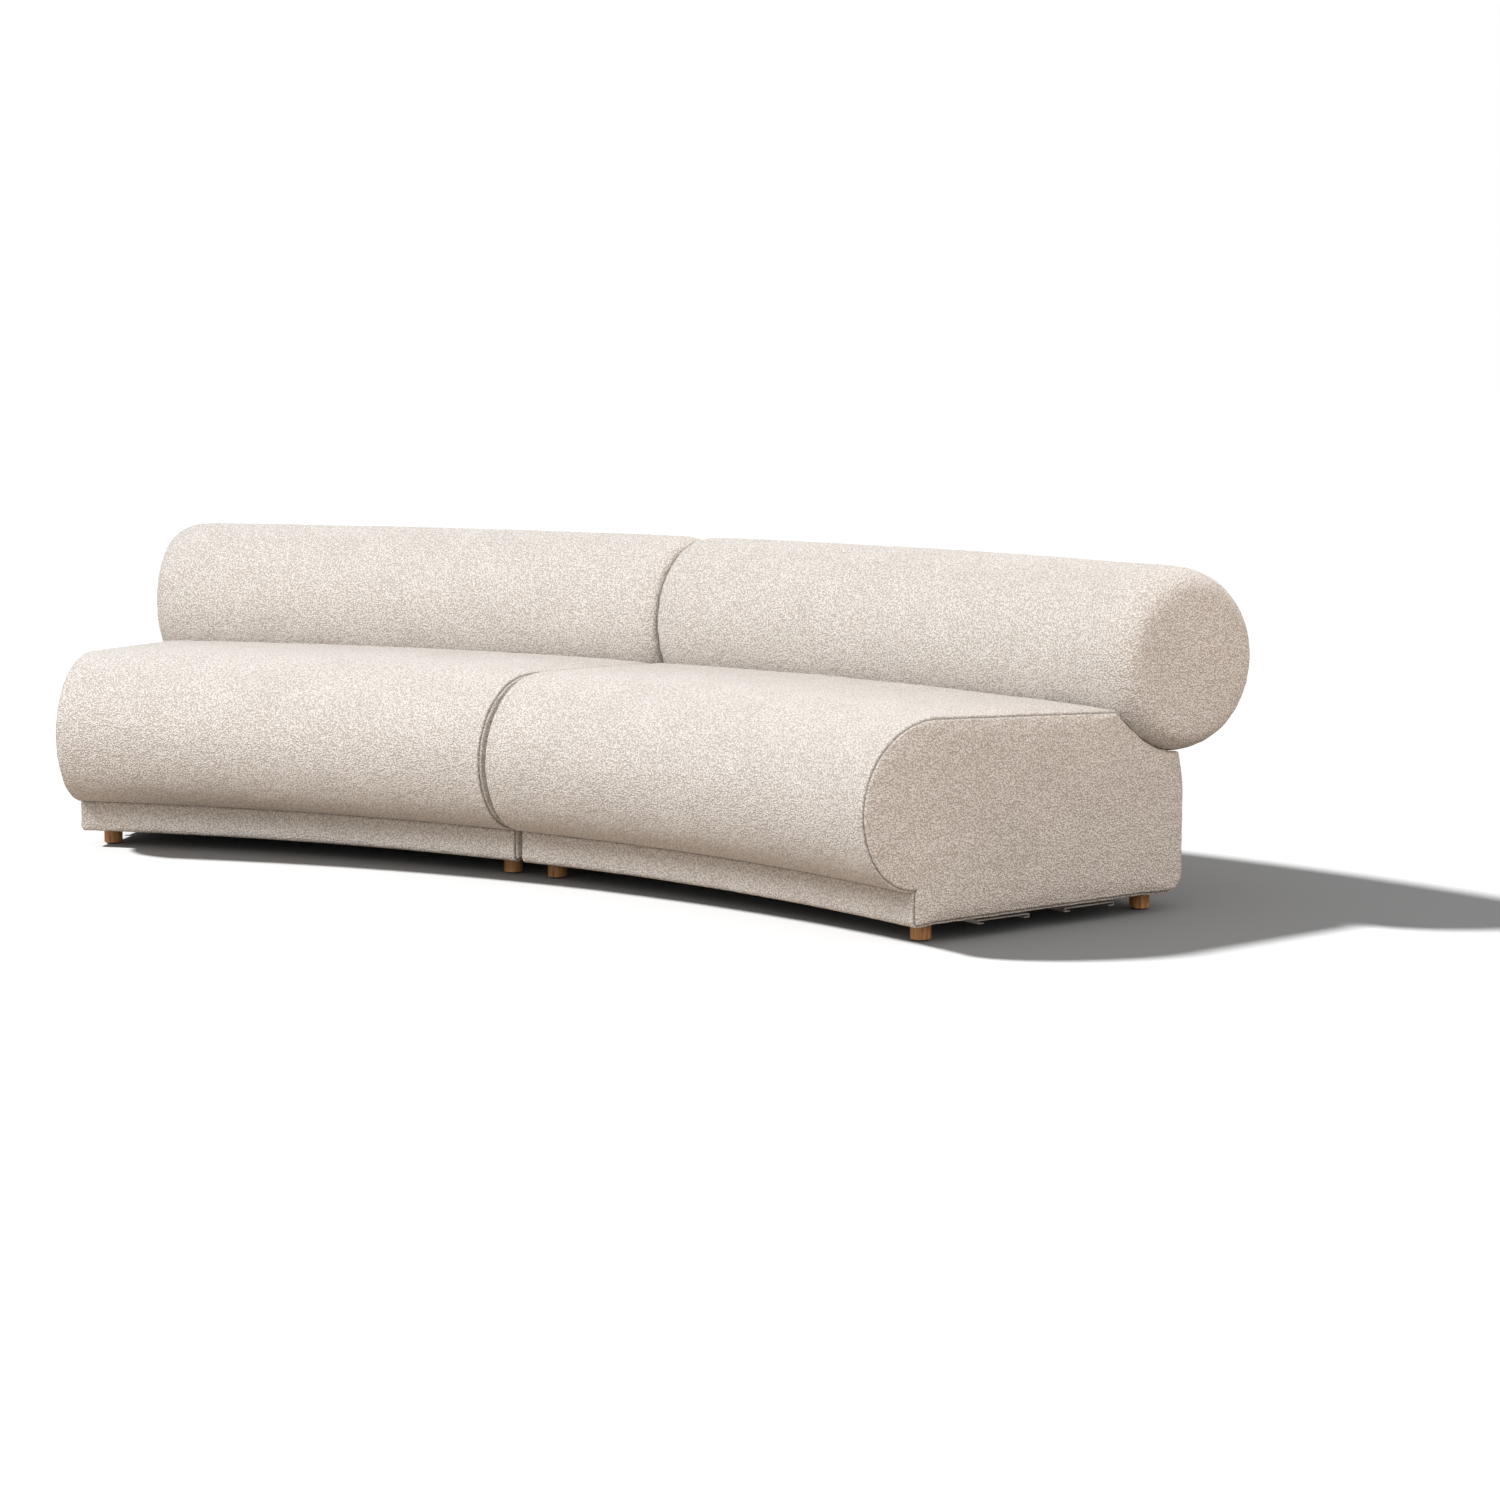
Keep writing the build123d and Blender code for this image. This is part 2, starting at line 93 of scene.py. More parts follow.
# %% [markdown]
# ## Small helpers
# Three helpers do the everyday work: one turns (u, z, angle) into space, one makes a mesh from arrays, and
# one gives smooth noise at any set of points.  The noise is a lattice of hashed numbers, blended with an
# S-curve, so it is the same on every run.

# %% Helpers
def on_ring(u, z, angle):
    """Points at radius PLINTH_RADIUS + u, height z and that angle from +Y towards +X: an (..., 3) array."""
    radius = PLINTH_RADIUS + np.asarray(u)
    return np.stack(np.broadcast_arrays(radius * np.sin(angle), RING_Y + radius * np.cos(angle), z), axis=-1)


def turn_about_ring(points, angle):
    """Points turned about the ring's upright axis by that angle, from +Y towards +X."""
    x, y = points[..., 0], points[..., 1] - RING_Y
    turned = [x * cos(angle) + y * sin(angle), y * cos(angle) - x * sin(angle) + RING_Y, points[..., 2]]
    return np.stack(turned, axis=-1)


def new_mesh(name, points, faces):
    """An object at the origin whose mesh has these points and faces."""
    mesh = bpy.data.meshes.new(name)
    mesh.from_pydata(np.asarray(points).reshape(-1, 3), [], faces)
    mesh.validate()
    mesh.shade_smooth()
    made = bpy.data.objects.new(name, mesh)
    bpy.context.scene.collection.objects.link(made)
    return made


def read_points(mesh):
    points = np.empty(len(mesh.vertices) * 3)
    mesh.vertices.foreach_get("co", points)
    return points.reshape(-1, 3)


def read_normals(mesh):
    normals = np.empty(len(mesh.vertices) * 3)
    mesh.vertex_normals.foreach_get("vector", normals)
    return normals.reshape(-1, 3)


def write_points(mesh, points):
    mesh.vertices.foreach_set("co", np.ascontiguousarray(points, dtype=np.float64).ravel())
    mesh.update()


def hashed(cell, seed):
    """A number from -1 to 1 for each whole-numbered lattice cell."""
    mixed = cell[..., 0] * 73856093 ^ cell[..., 1] * 19349663 ^ cell[..., 2] * 83492791 ^ seed * 2654435761
    mixed = (mixed ^ (mixed >> 13)) * 1274126177 & 0x7FFFFFFF
    mixed = (mixed ^ (mixed >> 16)) * 1103515245 & 0x7FFFFFFF
    return mixed / 0x3FFFFFFF - 1.0


def soft_noise(points, size, seed):
    """Hashed lattice values of that cell size, blended by 3t^2 - 2t^3 along each axis."""
    place = np.asarray(points) / size + 512.0
    cell = np.floor(place).astype(np.int64)
    t = place - cell
    t = t * t * (3 - 2 * t)
    total = np.zeros(len(place))
    for corner in np.ndindex(2, 2, 2):
        share = np.prod(np.where(corner, t, 1 - t), axis=1)
        total += share * hashed(cell + np.array(corner), seed)
    return total


def plain_quads(rows, columns, close_columns=False):
    """Quads of a rows x columns grid of points, counted row by row."""
    across = columns if close_columns else columns - 1
    row, column = np.meshgrid(np.arange(rows - 1), np.arange(across), indexing="ij")
    after = (column + 1) % columns
    here, above = row * columns, (row + 1) * columns
    return np.stack([here + column, here + after, above + after, above + column], -1).reshape(-1, 4)


# %% [markdown]
# ## The camera and the light
# The sofa is seen from beyond its right-hand end, from well above its roll, through a long lens.  A broad
# soft panel in front lights the seat and the rolls, a small warm one lights the right-hand end, another
# lights the back, and a white room fills the rest.  A sun from the left lights only the floor and draws
# the shadow there.

# %% Camera
CAMERA_YAW, CAMERA_PITCH = 33.249, -7.059
camera_data = bpy.data.cameras.new("camera")
camera_data.lens = 76.86
camera_data.sensor_width = 36.0
camera_data.shift_y = -0.0181
camera = bpy.data.objects.new("camera", camera_data)
camera.location = (4.1118, -2.2667 + RING_Y, 1.1707)
camera.rotation_euler = (radians(90 + CAMERA_PITCH), 0.0, radians(CAMERA_YAW))
bpy.context.scene.collection.objects.link(camera)
bpy.context.scene.camera = camera

# %% Lights, room and floor
def aim(thing, target):
    """Points a light's -Z at a place."""
    way = np.asarray(target) - np.asarray(thing.location)
    level = hypot(way[0], way[1])
    thing.rotation_euler = (atan2(level, -way[2]), 0.0, atan2(-way[0], way[1]))


def panel_light(name, place, target, size, power, colour):
    lamp = bpy.data.lights.new(name, "AREA")
    lamp.shape = "RECTANGLE"
    lamp.size, lamp.size_y = size
    lamp.energy = power
    lamp.color = colour
    made = bpy.data.objects.new(name, lamp)
    made.location = place
    bpy.context.scene.collection.objects.link(made)
    aim(made, target)
    return made


sun_data = bpy.data.lights.new("floor_sun", "SUN")
sun_data.energy = 12.2
sun_data.angle = radians(5)
SUN_PLACE, SUN_TRAVEL = np.array([-2.0, -0.8, 3.0]), np.array([1.07, 0.44, -1.0])
floor_sun = bpy.data.objects.new("floor_sun", sun_data)
floor_sun.location = SUN_PLACE
bpy.context.scene.collection.objects.link(floor_sun)
aim(floor_sun, SUN_PLACE + SUN_TRAVEL)
panels = [
    panel_light("front_panel", (-0.6, -4.2, 4.4), (0.0, 0.0, 0.4), (4.5, 2.5), 285.0, (0.89, 0.94, 1.0)),
    panel_light("side_panel", (4.6, -0.6, 2.6), (1.2, 0.0, 0.5), (2.5, 2.0), 44.0, (1.0, 0.80, 0.70)),
    panel_light("back_panel_light", (0.6, 4.6, 3.2), (0.0, 0.4, 0.4), (4.0, 2.0), 90.0, (1.0, 1.0, 1.0)),
]

world = bpy.data.worlds.new("room")
world.use_nodes = True
room_nodes, room_links = world.node_tree.nodes, world.node_tree.links
room = room_nodes["Background"]
room.inputs["Color"].default_value = (1.0, 1.0, 1.0, 1.0)
room.inputs["Strength"].default_value = 0.74
backdrop = room_nodes.new("ShaderNodeBackground")
backdrop.inputs["Color"].default_value = (1.0, 1.0, 1.0, 1.0)
seen_or_lit = room_nodes.new("ShaderNodeMixShader")
room_links.new(room_nodes.new("ShaderNodeLightPath").outputs["Is Camera Ray"], seen_or_lit.inputs["Fac"])
room_links.new(room.outputs["Background"], seen_or_lit.inputs[1])
room_links.new(backdrop.outputs["Background"], seen_or_lit.inputs[2])
room_links.new(seen_or_lit.outputs["Shader"], room_nodes["World Output"].inputs["Surface"])
bpy.context.scene.world = world
bpy.context.scene.view_settings.view_transform = "Standard"

floor_half = 40.0
floor_corners = [(-1, -1, 0), (1, -1, 0), (1, 1, 0), (-1, 1, 0)]
floor = new_mesh("floor", np.array(floor_corners) * floor_half, [(0, 1, 2, 3)])

# %% [markdown]
# ## Finishes
# A finish is a small tree of nodes.  The helper below makes the usual trunk, and each finish adds its own
# pattern.  Patterns read Object coordinates, which are metres here because every piece sits at the origin.

# %% A helper for node trees
def finish_tree(name, roughness, metallic=0.0):
    """A new material, its nodes, a function that adds a node, and its main shader."""
    material = bpy.data.materials.new(name)
    material.use_nodes = True
    tree = material.node_tree
    shader = tree.nodes["Principled BSDF"]
    shader.inputs["Roughness"].default_value = roughness
    shader.inputs["Metallic"].default_value = metallic

    def add(kind, inputs=None, **settings):
        node = tree.nodes.new(kind)
        for key, value in settings.items():
            setattr(node, key, value)
        for key, value in (inputs or {}).items():
            if isinstance(value, bpy.types.NodeSocket):
                tree.links.new(value, node.inputs[key])
            else:
                node.inputs[key].default_value = value
        return node

    return material, tree, add, shader


def ramp(add, source, stops):
    """A colour ramp from (position, colour) stops."""
    node = add("ShaderNodeValToRGB", {"Fac": source})
    elements = node.color_ramp.elements
    elements[0].position, elements[0].color = stops[0][0], (*stops[0][1], 1.0)
    elements[1].position, elements[1].color = stops[-1][0], (*stops[-1][1], 1.0)
    for position, colour in stops[1:-1]:
        elements.new(position).color = (*colour, 1.0)
    return node.outputs["Color"]


# %% [markdown]
# ### Boucle
# Boucle is woven from a looped yarn, so its face is a field of small curls about 4 mm across with shadowed
# gaps between them.  Cells of a Voronoi pattern, pushed about by noise, give the curls.  A finer noise
# gives the loops on each curl.  The same height drives both the bump and the colour, so the colour is
# painted shade in the gaps, where less light gets in.  An attribute on the cloth also darkens the seams and
# the plinth's crease: painted shade, where shade falls in those valleys.

# %% Boucle
CURL_SIZE = 0.0038
LOOP_SIZE = 0.0015
CURL_DEPTH = 0.0027
WANDER, WANDER_SIZE = 0.0025, 0.008


def boucle_finish(name, gap, body, crest):
    material, tree, add, shader = finish_tree(name, 0.95)
    place = add("ShaderNodeTexCoord").outputs["Object"]
    wander = add("ShaderNodeTexNoise", {"Vector": place, "Scale": 1 / WANDER_SIZE, "Detail": 2.0})
    middle = (0.5, 0.5, 0.5)
    shift = add("ShaderNodeVectorMath", {0: wander.outputs["Color"], 1: middle}, operation="SUBTRACT")
    pushed = add(
        "ShaderNodeVectorMath",
        {0: shift.outputs["Vector"], 1: (WANDER, WANDER, WANDER), 2: place},
        operation="MULTIPLY_ADD",
    )
    curls = add(
        "ShaderNodeTexVoronoi",
        {"Vector": pushed.outputs["Vector"], "Scale": 1 / CURL_SIZE, "Smoothness": 0.35},
        feature="SMOOTH_F1",
    )
    curl_height = add(
        "ShaderNodeMapRange",
        {"Value": curls.outputs["Distance"], "From Min": 0.0, "From Max": 0.75, "To Min": 1.0, "To Max": 0.0},
    )
    loops = add(
        "ShaderNodeTexNoise",
        {"Vector": pushed.outputs["Vector"], "Scale": 1 / LOOP_SIZE, "Detail": 2.0, "Roughness": 0.6},
    )
    height = add(
        "ShaderNodeMath",
        {0: loops.outputs["Fac"], 1: 0.55, 2: curl_height.outputs["Result"]},
        operation="MULTIPLY_ADD",
    )
    # Painted shade: the colour darkens towards the gaps between curls, where less light gets in.
    colour = ramp(add, height.outputs["Value"], [(0.42, gap), (0.78, body), (1.0, crest)])
    patches = add("ShaderNodeTexNoise", {"Vector": place, "Scale": 9.0, "Detail": 2.0})
    tone = add(
        "ShaderNodeMapRange",
        {"Value": patches.outputs["Fac"], "From Min": 0.3, "From Max": 0.7, "To Min": 0.965, "To Max": 1.03},
    )
    # Painted shade: the seams are darkened to about a third, the plinth's crease to about a half.
    sewn = add("ShaderNodeAttribute", attribute_name="seam")
    painted_seam_shade = add("ShaderNodeMapRange", {"Value": sewn.outputs["Fac"], "To Min": 1.0, "To Max": 0.35})
    level = add(
        "ShaderNodeMath",
        {0: tone.outputs["Result"], 1: painted_seam_shade.outputs["Result"]},
        operation="MULTIPLY",
    )
    toned = add("ShaderNodeVectorMath", {0: colour, "Scale": level.outputs["Value"]}, operation="SCALE")
    bump = add("ShaderNodeBump", {"Height": height.outputs["Value"], "Distance": CURL_DEPTH, "Strength": 1.0})
    tree.links.new(toned.outputs["Vector"], shader.inputs["Base Color"])
    tree.links.new(bump.outputs["Normal"], shader.inputs["Normal"])
    shader.inputs["Specular IOR Level"].default_value = 0.15
    shader.inputs["Sheen Weight"].default_value = 0.25
    shader.inputs["Sheen Roughness"].default_value = 0.45
    shader.inputs["Sheen Tint"].default_value = (1.0, 0.97, 0.93, 1.0)
    return material


boucle = boucle_finish("boucle", (0.55, 0.485, 0.42), (0.865, 0.807, 0.75), (0.92, 0.87, 0.82))

# %% [markdown]
# ### Wood
# Three woods are in the sofa: birch plywood boards and ribs, softwood rails, and feet turned from stained
# oak.  Wood is long fibres, so its grain is noise squeezed across the fibre and drawn out along it.  Slow
# bands of growth lie under fine dark pores.  The pores are also a little lower and less glossy than the
# wood around them.

# %% Wood
def wood_finish(name, light, dark, squeeze, band, roughness, coat=0.0):
    """Bands of that size and pores a seventh of it, squeezed by those amounts along X, Y and Z."""
    material, tree, add, shader = finish_tree(name, roughness)
    place = add("ShaderNodeTexCoord").outputs["Object"]
    grain = add("ShaderNodeMapping", {"Vector": place, "Scale": squeeze}).outputs["Vector"]
    bands = add("ShaderNodeTexNoise", {"Vector": grain, "Scale": 1 / band, "Detail": 3.0, "Distortion": 0.6})
    pores = add("ShaderNodeTexNoise", {"Vector": grain, "Scale": 7 / band, "Detail": 5.0, "Roughness": 0.7})
    both = add(
        "ShaderNodeMath",
        {0: pores.outputs["Fac"], 1: 0.55, 2: bands.outputs["Fac"]},
        operation="MULTIPLY_ADD",
    )
    palest = tuple(1.12 * c for c in light)
    colour = ramp(add, both.outputs["Value"], [(0.58, dark), (0.78, light), (0.95, palest)])
    duller = roughness + 0.12
    span = {"From Min": 0.35, "From Max": 0.65, "To Min": duller, "To Max": roughness}
    dull = add("ShaderNodeMapRange", {"Value": pores.outputs["Fac"], **span})
    bump = add("ShaderNodeBump", {"Height": both.outputs["Value"], "Distance": 0.0003, "Strength": 0.6})
    tree.links.new(colour, shader.inputs["Base Color"])
    tree.links.new(dull.outputs["Result"], shader.inputs["Roughness"])
    tree.links.new(bump.outputs["Normal"], shader.inputs["Normal"])
    shader.inputs["Coat Weight"].default_value = coat
    shader.inputs["Coat Roughness"].default_value = 0.35
    return material


plywood = wood_finish("birch_plywood", (0.68, 0.50, 0.32), (0.50, 0.34, 0.20), (0.12, 1.0, 1.0), 0.012, 0.6)
timber = wood_finish("softwood", (0.66, 0.46, 0.27), (0.46, 0.28, 0.14), (0.06, 1.0, 1.0), 0.006, 0.65)
OAK_LIGHT, OAK_DARK = (0.47, 0.225, 0.075), (0.20, 0.085, 0.030)
foot_oak = wood_finish("stained_oak", OAK_LIGHT, OAK_DARK, (1.0, 1.0, 0.10), 0.005, 0.42, coat=0.2)

# %% [markdown]
# ### Steel, plastic, webbing and the dust cloth
# Powder coat has a faint orange-peel skin, zinc plate is cloudy, and a moulded glide is dull with fine
# scuffs, so all three share one tree: a slow noise for tone and a fine one for the skin.  Webbing is a
# plain weave, drawn as two crossing waves.  The dust cloth under the base is pressed from loose fibres,
# which a stretched noise gives.

# %% Steel, plastic and foam
def skinned_finish(name, tone, roughness, metallic, cloud, skin, depth):
    """A tone that clouds by a fifth over the cloud size, with a fine skin of that size and depth."""
    material, tree, add, shader = finish_tree(name, roughness, metallic)
    place = add("ShaderNodeTexCoord").outputs["Object"]
    clouds = add("ShaderNodeTexNoise", {"Vector": place, "Scale": 1 / cloud, "Detail": 4.0, "Roughness": 0.6})
    peel = add("ShaderNodeTexNoise", {"Vector": place, "Scale": 1 / skin, "Detail": 2.0})
    pale, deep = tuple(min(1.0, 1.12 * c) for c in tone), tuple(0.8 * c for c in tone)
    clouded = ramp(add, clouds.outputs["Fac"], [(0.35, deep), (0.65, pale)])
    tree.links.new(clouded, shader.inputs["Base Color"])
    shinier, duller = roughness - 0.08, roughness + 0.1
    span = {"From Min": 0.3, "From Max": 0.7, "To Min": shinier, "To Max": duller}
    scuffs = add("ShaderNodeMapRange", {"Value": clouds.outputs["Fac"], **span})
    tree.links.new(scuffs.outputs["Result"], shader.inputs["Roughness"])
    bump = add("ShaderNodeBump", {"Height": peel.outputs["Fac"], "Distance": depth, "Strength": 0.7})
    tree.links.new(bump.outputs["Normal"], shader.inputs["Normal"])
    return material


black_steel = skinned_finish("black_powder_coat", (0.022, 0.022, 0.024), 0.48, 0.0, 0.05, 0.0011, 0.00012)
zinc_steel = skinned_finish("zinc_plate", (0.60, 0.60, 0.57), 0.36, 1.0, 0.006, 0.0005, 0.00004)
glide_plastic = skinned_finish("glide_plastic", (0.030, 0.028, 0.026), 0.55, 0.0, 0.008, 0.0007, 0.00006)
foam = skinned_finish("foam", (0.80, 0.76, 0.62), 0.9, 0.0, 0.08, 0.0016, 0.0006)


# %% Webbing and dust cloth
def webbing_finish(name, yarn, gap, pitch):
    """Two waves at right angles, their product dark where both yarns dip."""
    material, tree, add, shader = finish_tree(name, 0.8)
    place = add("ShaderNodeTexCoord").outputs["Object"]
    warp = add("ShaderNodeTexWave", {"Vector": place, "Scale": 0.16 / pitch}, bands_direction="X")
    weft = add("ShaderNodeTexWave", {"Vector": place, "Scale": 0.16 / pitch}, bands_direction="Y")
    weave = add("ShaderNodeMath", {0: warp.outputs["Fac"], 1: weft.outputs["Fac"]}, operation="MULTIPLY")
    tree.links.new(ramp(add, weave.outputs["Value"], [(0.05, gap), (0.6, yarn)]), shader.inputs["Base Color"])
    bump = add("ShaderNodeBump", {"Height": weave.outputs["Value"], "Distance": 0.0004})
    tree.links.new(bump.outputs["Normal"], shader.inputs["Normal"])
    return material


FIBRE_SIZE = 0.0012


def pressed_cloth_finish(name, fibre, ground):
    """Short fibres lying two ways: the larger of two noises, each drawn out along its own diagonal."""
    material, tree, add, shader = finish_tree(name, 0.9)
    place = add("ShaderNodeTexCoord").outputs["Object"]
    ways = []
    for turn in (35.0, -50.0):
        drawn_out = {"Vector": place, "Rotation": (0.0, 0.0, radians(turn)), "Scale": (0.15, 1.0, 1.0)}
        lie = add("ShaderNodeMapping", drawn_out).outputs["Vector"]
        ways.append(add("ShaderNodeTexNoise", {"Vector": lie, "Scale": 1 / FIBRE_SIZE, "Detail": 3.0}))
    web = add("ShaderNodeMath", {0: ways[0].outputs["Fac"], 1: ways[1].outputs["Fac"]}, operation="MAXIMUM")
    fibres = ramp(add, web.outputs["Value"], [(0.45, ground), (0.68, fibre)])
    tree.links.new(fibres, shader.inputs["Base Color"])
    bump = add("ShaderNodeBump", {"Height": web.outputs["Value"], "Distance": 0.0003})
    tree.links.new(bump.outputs["Normal"], shader.inputs["Normal"])
    shader.inputs["Sheen Weight"].default_value = 0.1
    return material


webbing = webbing_finish("elastic_webbing", (0.36, 0.33, 0.29), (0.10, 0.09, 0.08), 0.0015)
dust_cloth = pressed_cloth_finish("pressed_dust_cloth", (0.075, 0.075, 0.078), (0.018, 0.018, 0.019))

# %% Give every CAD node its finish
FINISHES = {
    "boucle": boucle,
    "dust_cloth": dust_cloth,
    "webbing": webbing,
    "foam": foam,
    "plywood": plywood,
    "timber": timber,
    "foot_wood": foot_oak,
    "black_steel": black_steel,
    "zinc_steel": zinc_steel,
    "glide_felt": glide_plastic,
}
for row in frame["record"]["subparts"]:
    for material_slot in frame["nodes"][row["node"]].material_slots:
        material_slot.material = FINISHES[row["material_slot"]]

# %% Floor finish
floor_paint, floor_tree, add_to_floor, floor_shader = finish_tree("floor_paint", 0.9)
floor_shader.inputs["Base Color"].default_value = (0.33, 0.33, 0.33, 1.0)
floor_shader.inputs["Specular IOR Level"].default_value = 0.0
dull = add_to_floor("ShaderNodeBsdfDiffuse", {"Color": (0.178, 0.150, 0.126, 1.0)})
seen = add_to_floor("ShaderNodeLightPath").outputs["Is Camera Ray"]
two_floors = {"Fac": seen, 1: dull.outputs["BSDF"], 2: floor_shader.outputs["BSDF"]}
floor_mix = add_to_floor("ShaderNodeMixShader", two_floors)
floor_tree.links.new(floor_mix.outputs["Shader"], floor_tree.nodes["Material Output"].inputs["Surface"])
floor.data.materials.append(floor_paint)

# %% [markdown]
# ## The base's section
# The cloth follows one closed outline: up the plinth, out round the nose, back along the seat, down into
# the cradle that holds the bolster, down the back and home under the base.  It is all lines and arcs.
# Moving it inwards by an inset only changes each arc's radius, so the same points can be made at any depth
# below the face.  The outline is made as four sides with matched counts, because the end panels are woven
# between opposite sides.

# %% The outline as a function of inset
def polar(centre, radius, angle):
    return (centre[0] + radius * cos(radians(angle)), centre[1] + radius * sin(radians(angle)))


def direction(start, end):
    return degrees(atan2(end[1] - start[1], end[0] - start[0])) % 360


def along_arc(centre, radius, start, end, steps):
    """Points round a centre from one direction to another in degrees, the short way, without the last one."""
    angles = np.radians(start + ((end - start + 180) % 360 - 180) * np.arange(steps) / steps)
    return np.stack([centre[0] + radius * np.cos(angles), centre[1] + radius * np.sin(angles)], axis=-1)


def along_line(start, end, steps):
    """Points from start to end, without the last one."""
    share = (np.arange(steps) / steps)[:, None]
    return np.asarray(start) * (1 - share) + np.asarray(end) * share


TUCK_CENTRE = polar(NOSE_CENTRE, NOSE_RADIUS - TUCK_RADIUS, TUCK_ANGLE)
BACK_CURVE_CENTRE = (BASE_DEPTH - BACK_CURVE_RADIUS, BACK_CURVE_START)
UP = 90 - SEAT_FALL


def lip_centre():
    """The point LIP_RADIUS below the seat's line and as far outside the cradle's circle."""
    start = np.array(polar(NOSE_CENTRE, NOSE_RADIUS - LIP_RADIUS, UP))
    way = np.array([cos(radians(SEAT_FALL)), -sin(radians(SEAT_FALL))])
    to_start = start - np.array(BOLSTER_CENTRE)
    half_b = float(way @ to_start)
    gap = float(to_start @ to_start) - (CRADLE_RADIUS + LIP_RADIUS) ** 2
    return tuple(start + way * (-half_b - sqrt(half_b**2 - gap)))


LIP_CENTRE = lip_centre()


def plinth_crease(inset):
    """Where the nose tucks in against the plinth's front."""
    reach = TUCK_RADIUS - inset
    return (inset, TUCK_CENTRE[1] - sqrt(reach**2 - (inset - TUCK_CENTRE[0]) ** 2))


def cradle_end(inset):
    """Where the cradle meets the curved upper part of the back."""
    r1, r2 = CRADLE_RADIUS + inset, BACK_CURVE_RADIUS - inset
    gap = np.array(BACK_CURVE_CENTRE) - np.array(BOLSTER_CENTRE)
    apart = float(np.hypot(*gap))
    forth = (r1**2 - r2**2 + apart**2) / (2 * apart)
    aside = sqrt(r1**2 - forth**2)
    unit = gap / apart
    return tuple(np.array(BOLSTER_CENTRE) + forth * unit + aside * np.array([-unit[1], unit[0]]))


FRONT_STEPS = {"toe": 3, "plinth": 7, "tuck": 10, "nose": 34}
REAR_STEPS = {"lip": 5, "cradle": 16, "back_curve": 11, "back": 15, "heel": 7}
LONG_STEPS = 48
SIDE_STEPS = sum(FRONT_STEPS.values())
assert SIDE_STEPS == sum(REAR_STEPS.values())


def outline(inset):
    """The closed outline at an inset, clockwise from the toe: front side, seat, rear side, underside."""
    crease, rear = plinth_crease(inset), cradle_end(inset)
    toe = (PLINTH_CORNER, BASE_HEIGHT + PLINTH_CORNER)
    heel = (BASE_DEPTH - BACK_CORNER, BASE_HEIGHT + BACK_CORNER)
    nose, lip = NOSE_RADIUS - inset, LIP_RADIUS - inset
    lip_down = direction(LIP_CENTRE, BOLSTER_CENTRE)
    tuck_start = direction(TUCK_CENTRE, crease)
    cradle_start, cradle_stop = (lip_down + 180) % 360, direction(BOLSTER_CENTRE, rear)
    nose_mid = (TUCK_ANGLE + UP) / 2
    nose_half = FRONT_STEPS["nose"] // 2
    parts = [
        along_arc(toe, PLINTH_CORNER - inset, 270, 180, FRONT_STEPS["toe"]),
        along_line((inset, toe[1]), crease, FRONT_STEPS["plinth"]),
        along_arc(TUCK_CENTRE, TUCK_RADIUS - inset, tuck_start, TUCK_ANGLE, FRONT_STEPS["tuck"]),
        along_arc(NOSE_CENTRE, nose, TUCK_ANGLE, nose_mid, nose_half),
        along_arc(NOSE_CENTRE, nose, nose_mid, UP, nose_half),
        along_line(polar(NOSE_CENTRE, nose, UP), polar(LIP_CENTRE, lip, UP), LONG_STEPS),
        along_arc(LIP_CENTRE, lip, UP, lip_down, REAR_STEPS["lip"]),
        along_arc(BOLSTER_CENTRE, CRADLE_RADIUS + inset, cradle_start, cradle_stop, REAR_STEPS["cradle"]),
        along_arc(
            BACK_CURVE_CENTRE,
            BACK_CURVE_RADIUS - inset,
            direction(BACK_CURVE_CENTRE, rear),
            0,
            REAR_STEPS["back_curve"],
        ),
        along_line((BASE_DEPTH - inset, BACK_CURVE_START), (BASE_DEPTH - inset, heel[1]), REAR_STEPS["back"]),
        along_arc(heel, BACK_CORNER - inset, 0, -90, REAR_STEPS["heel"]),
        along_line((heel[0], BASE_HEIGHT + inset), (toe[0], BASE_HEIGHT + inset), LONG_STEPS),
    ]
    return np.concatenate(parts)


RING = len(outline(0.0))
step_names = ["toe", "plinth", "tuck", "nose", "seat", "lip", "cradle", "back_curve", "back", "heel", "under"]
step_counts = {**FRONT_STEPS, "seat": LONG_STEPS, **REAR_STEPS, "under": LONG_STEPS}
zone_of = np.concatenate([np.full(step_counts[name], i) for i, name in enumerate(step_names)])
outline_length = float(np.hypot(*np.diff(outline(0.0), axis=0).T).sum())
print("outline points", RING, "around", round(outline_length, 3), "m")

# %% [markdown]
# ## The base's cover
# On the real sofa this is one sewn sleeve: a long panel wrapped round the section, closed at each end by a
# flat panel cut to the outline.  It could be a solid with bevelled edges, but sewn edges are not bevels:
# each edge is a soft round with a fine valley where the two cloths are pulled down into the seam.  So the
# sleeve is a grid of section points by angle whose last rows roll inwards, and each end panel is woven
# between the outline's four sides.  All of it is one closed surface, and the seams are known rows of
# points.

# %% The sleeve's grid
EDGE_ROUND = 0.011
SEAM_DEPTH = 0.0042
ROLL_STEPS = 4
CREASE_DEPTH, CREASE_HALF_WIDTH = 0.004, 0.003
UNDER_LIFT = 0.0028
UNDER_FRONT, UNDER_BACK, UNDER_BLEND = 0.035, 0.615, 0.012
EDGE_LIFT, EDGE_LIFT_FADE = 0.005, 0.015
CREASE = FRONT_STEPS["toe"] + FRONT_STEPS["plinth"]


def crease_pull(points):
    """Pulls the plinth's crease inwards, where it is sewn to the frame, with its neighbours close by."""
    sewn = points[CREASE].copy()
    for beside in (CREASE - 1, CREASE + 1):
        way = points[beside] - sewn
        points[beside] = sewn + way * CREASE_HALF_WIDTH / np.hypot(*way)
    points[CREASE, 0] += CREASE_DEPTH
    return points


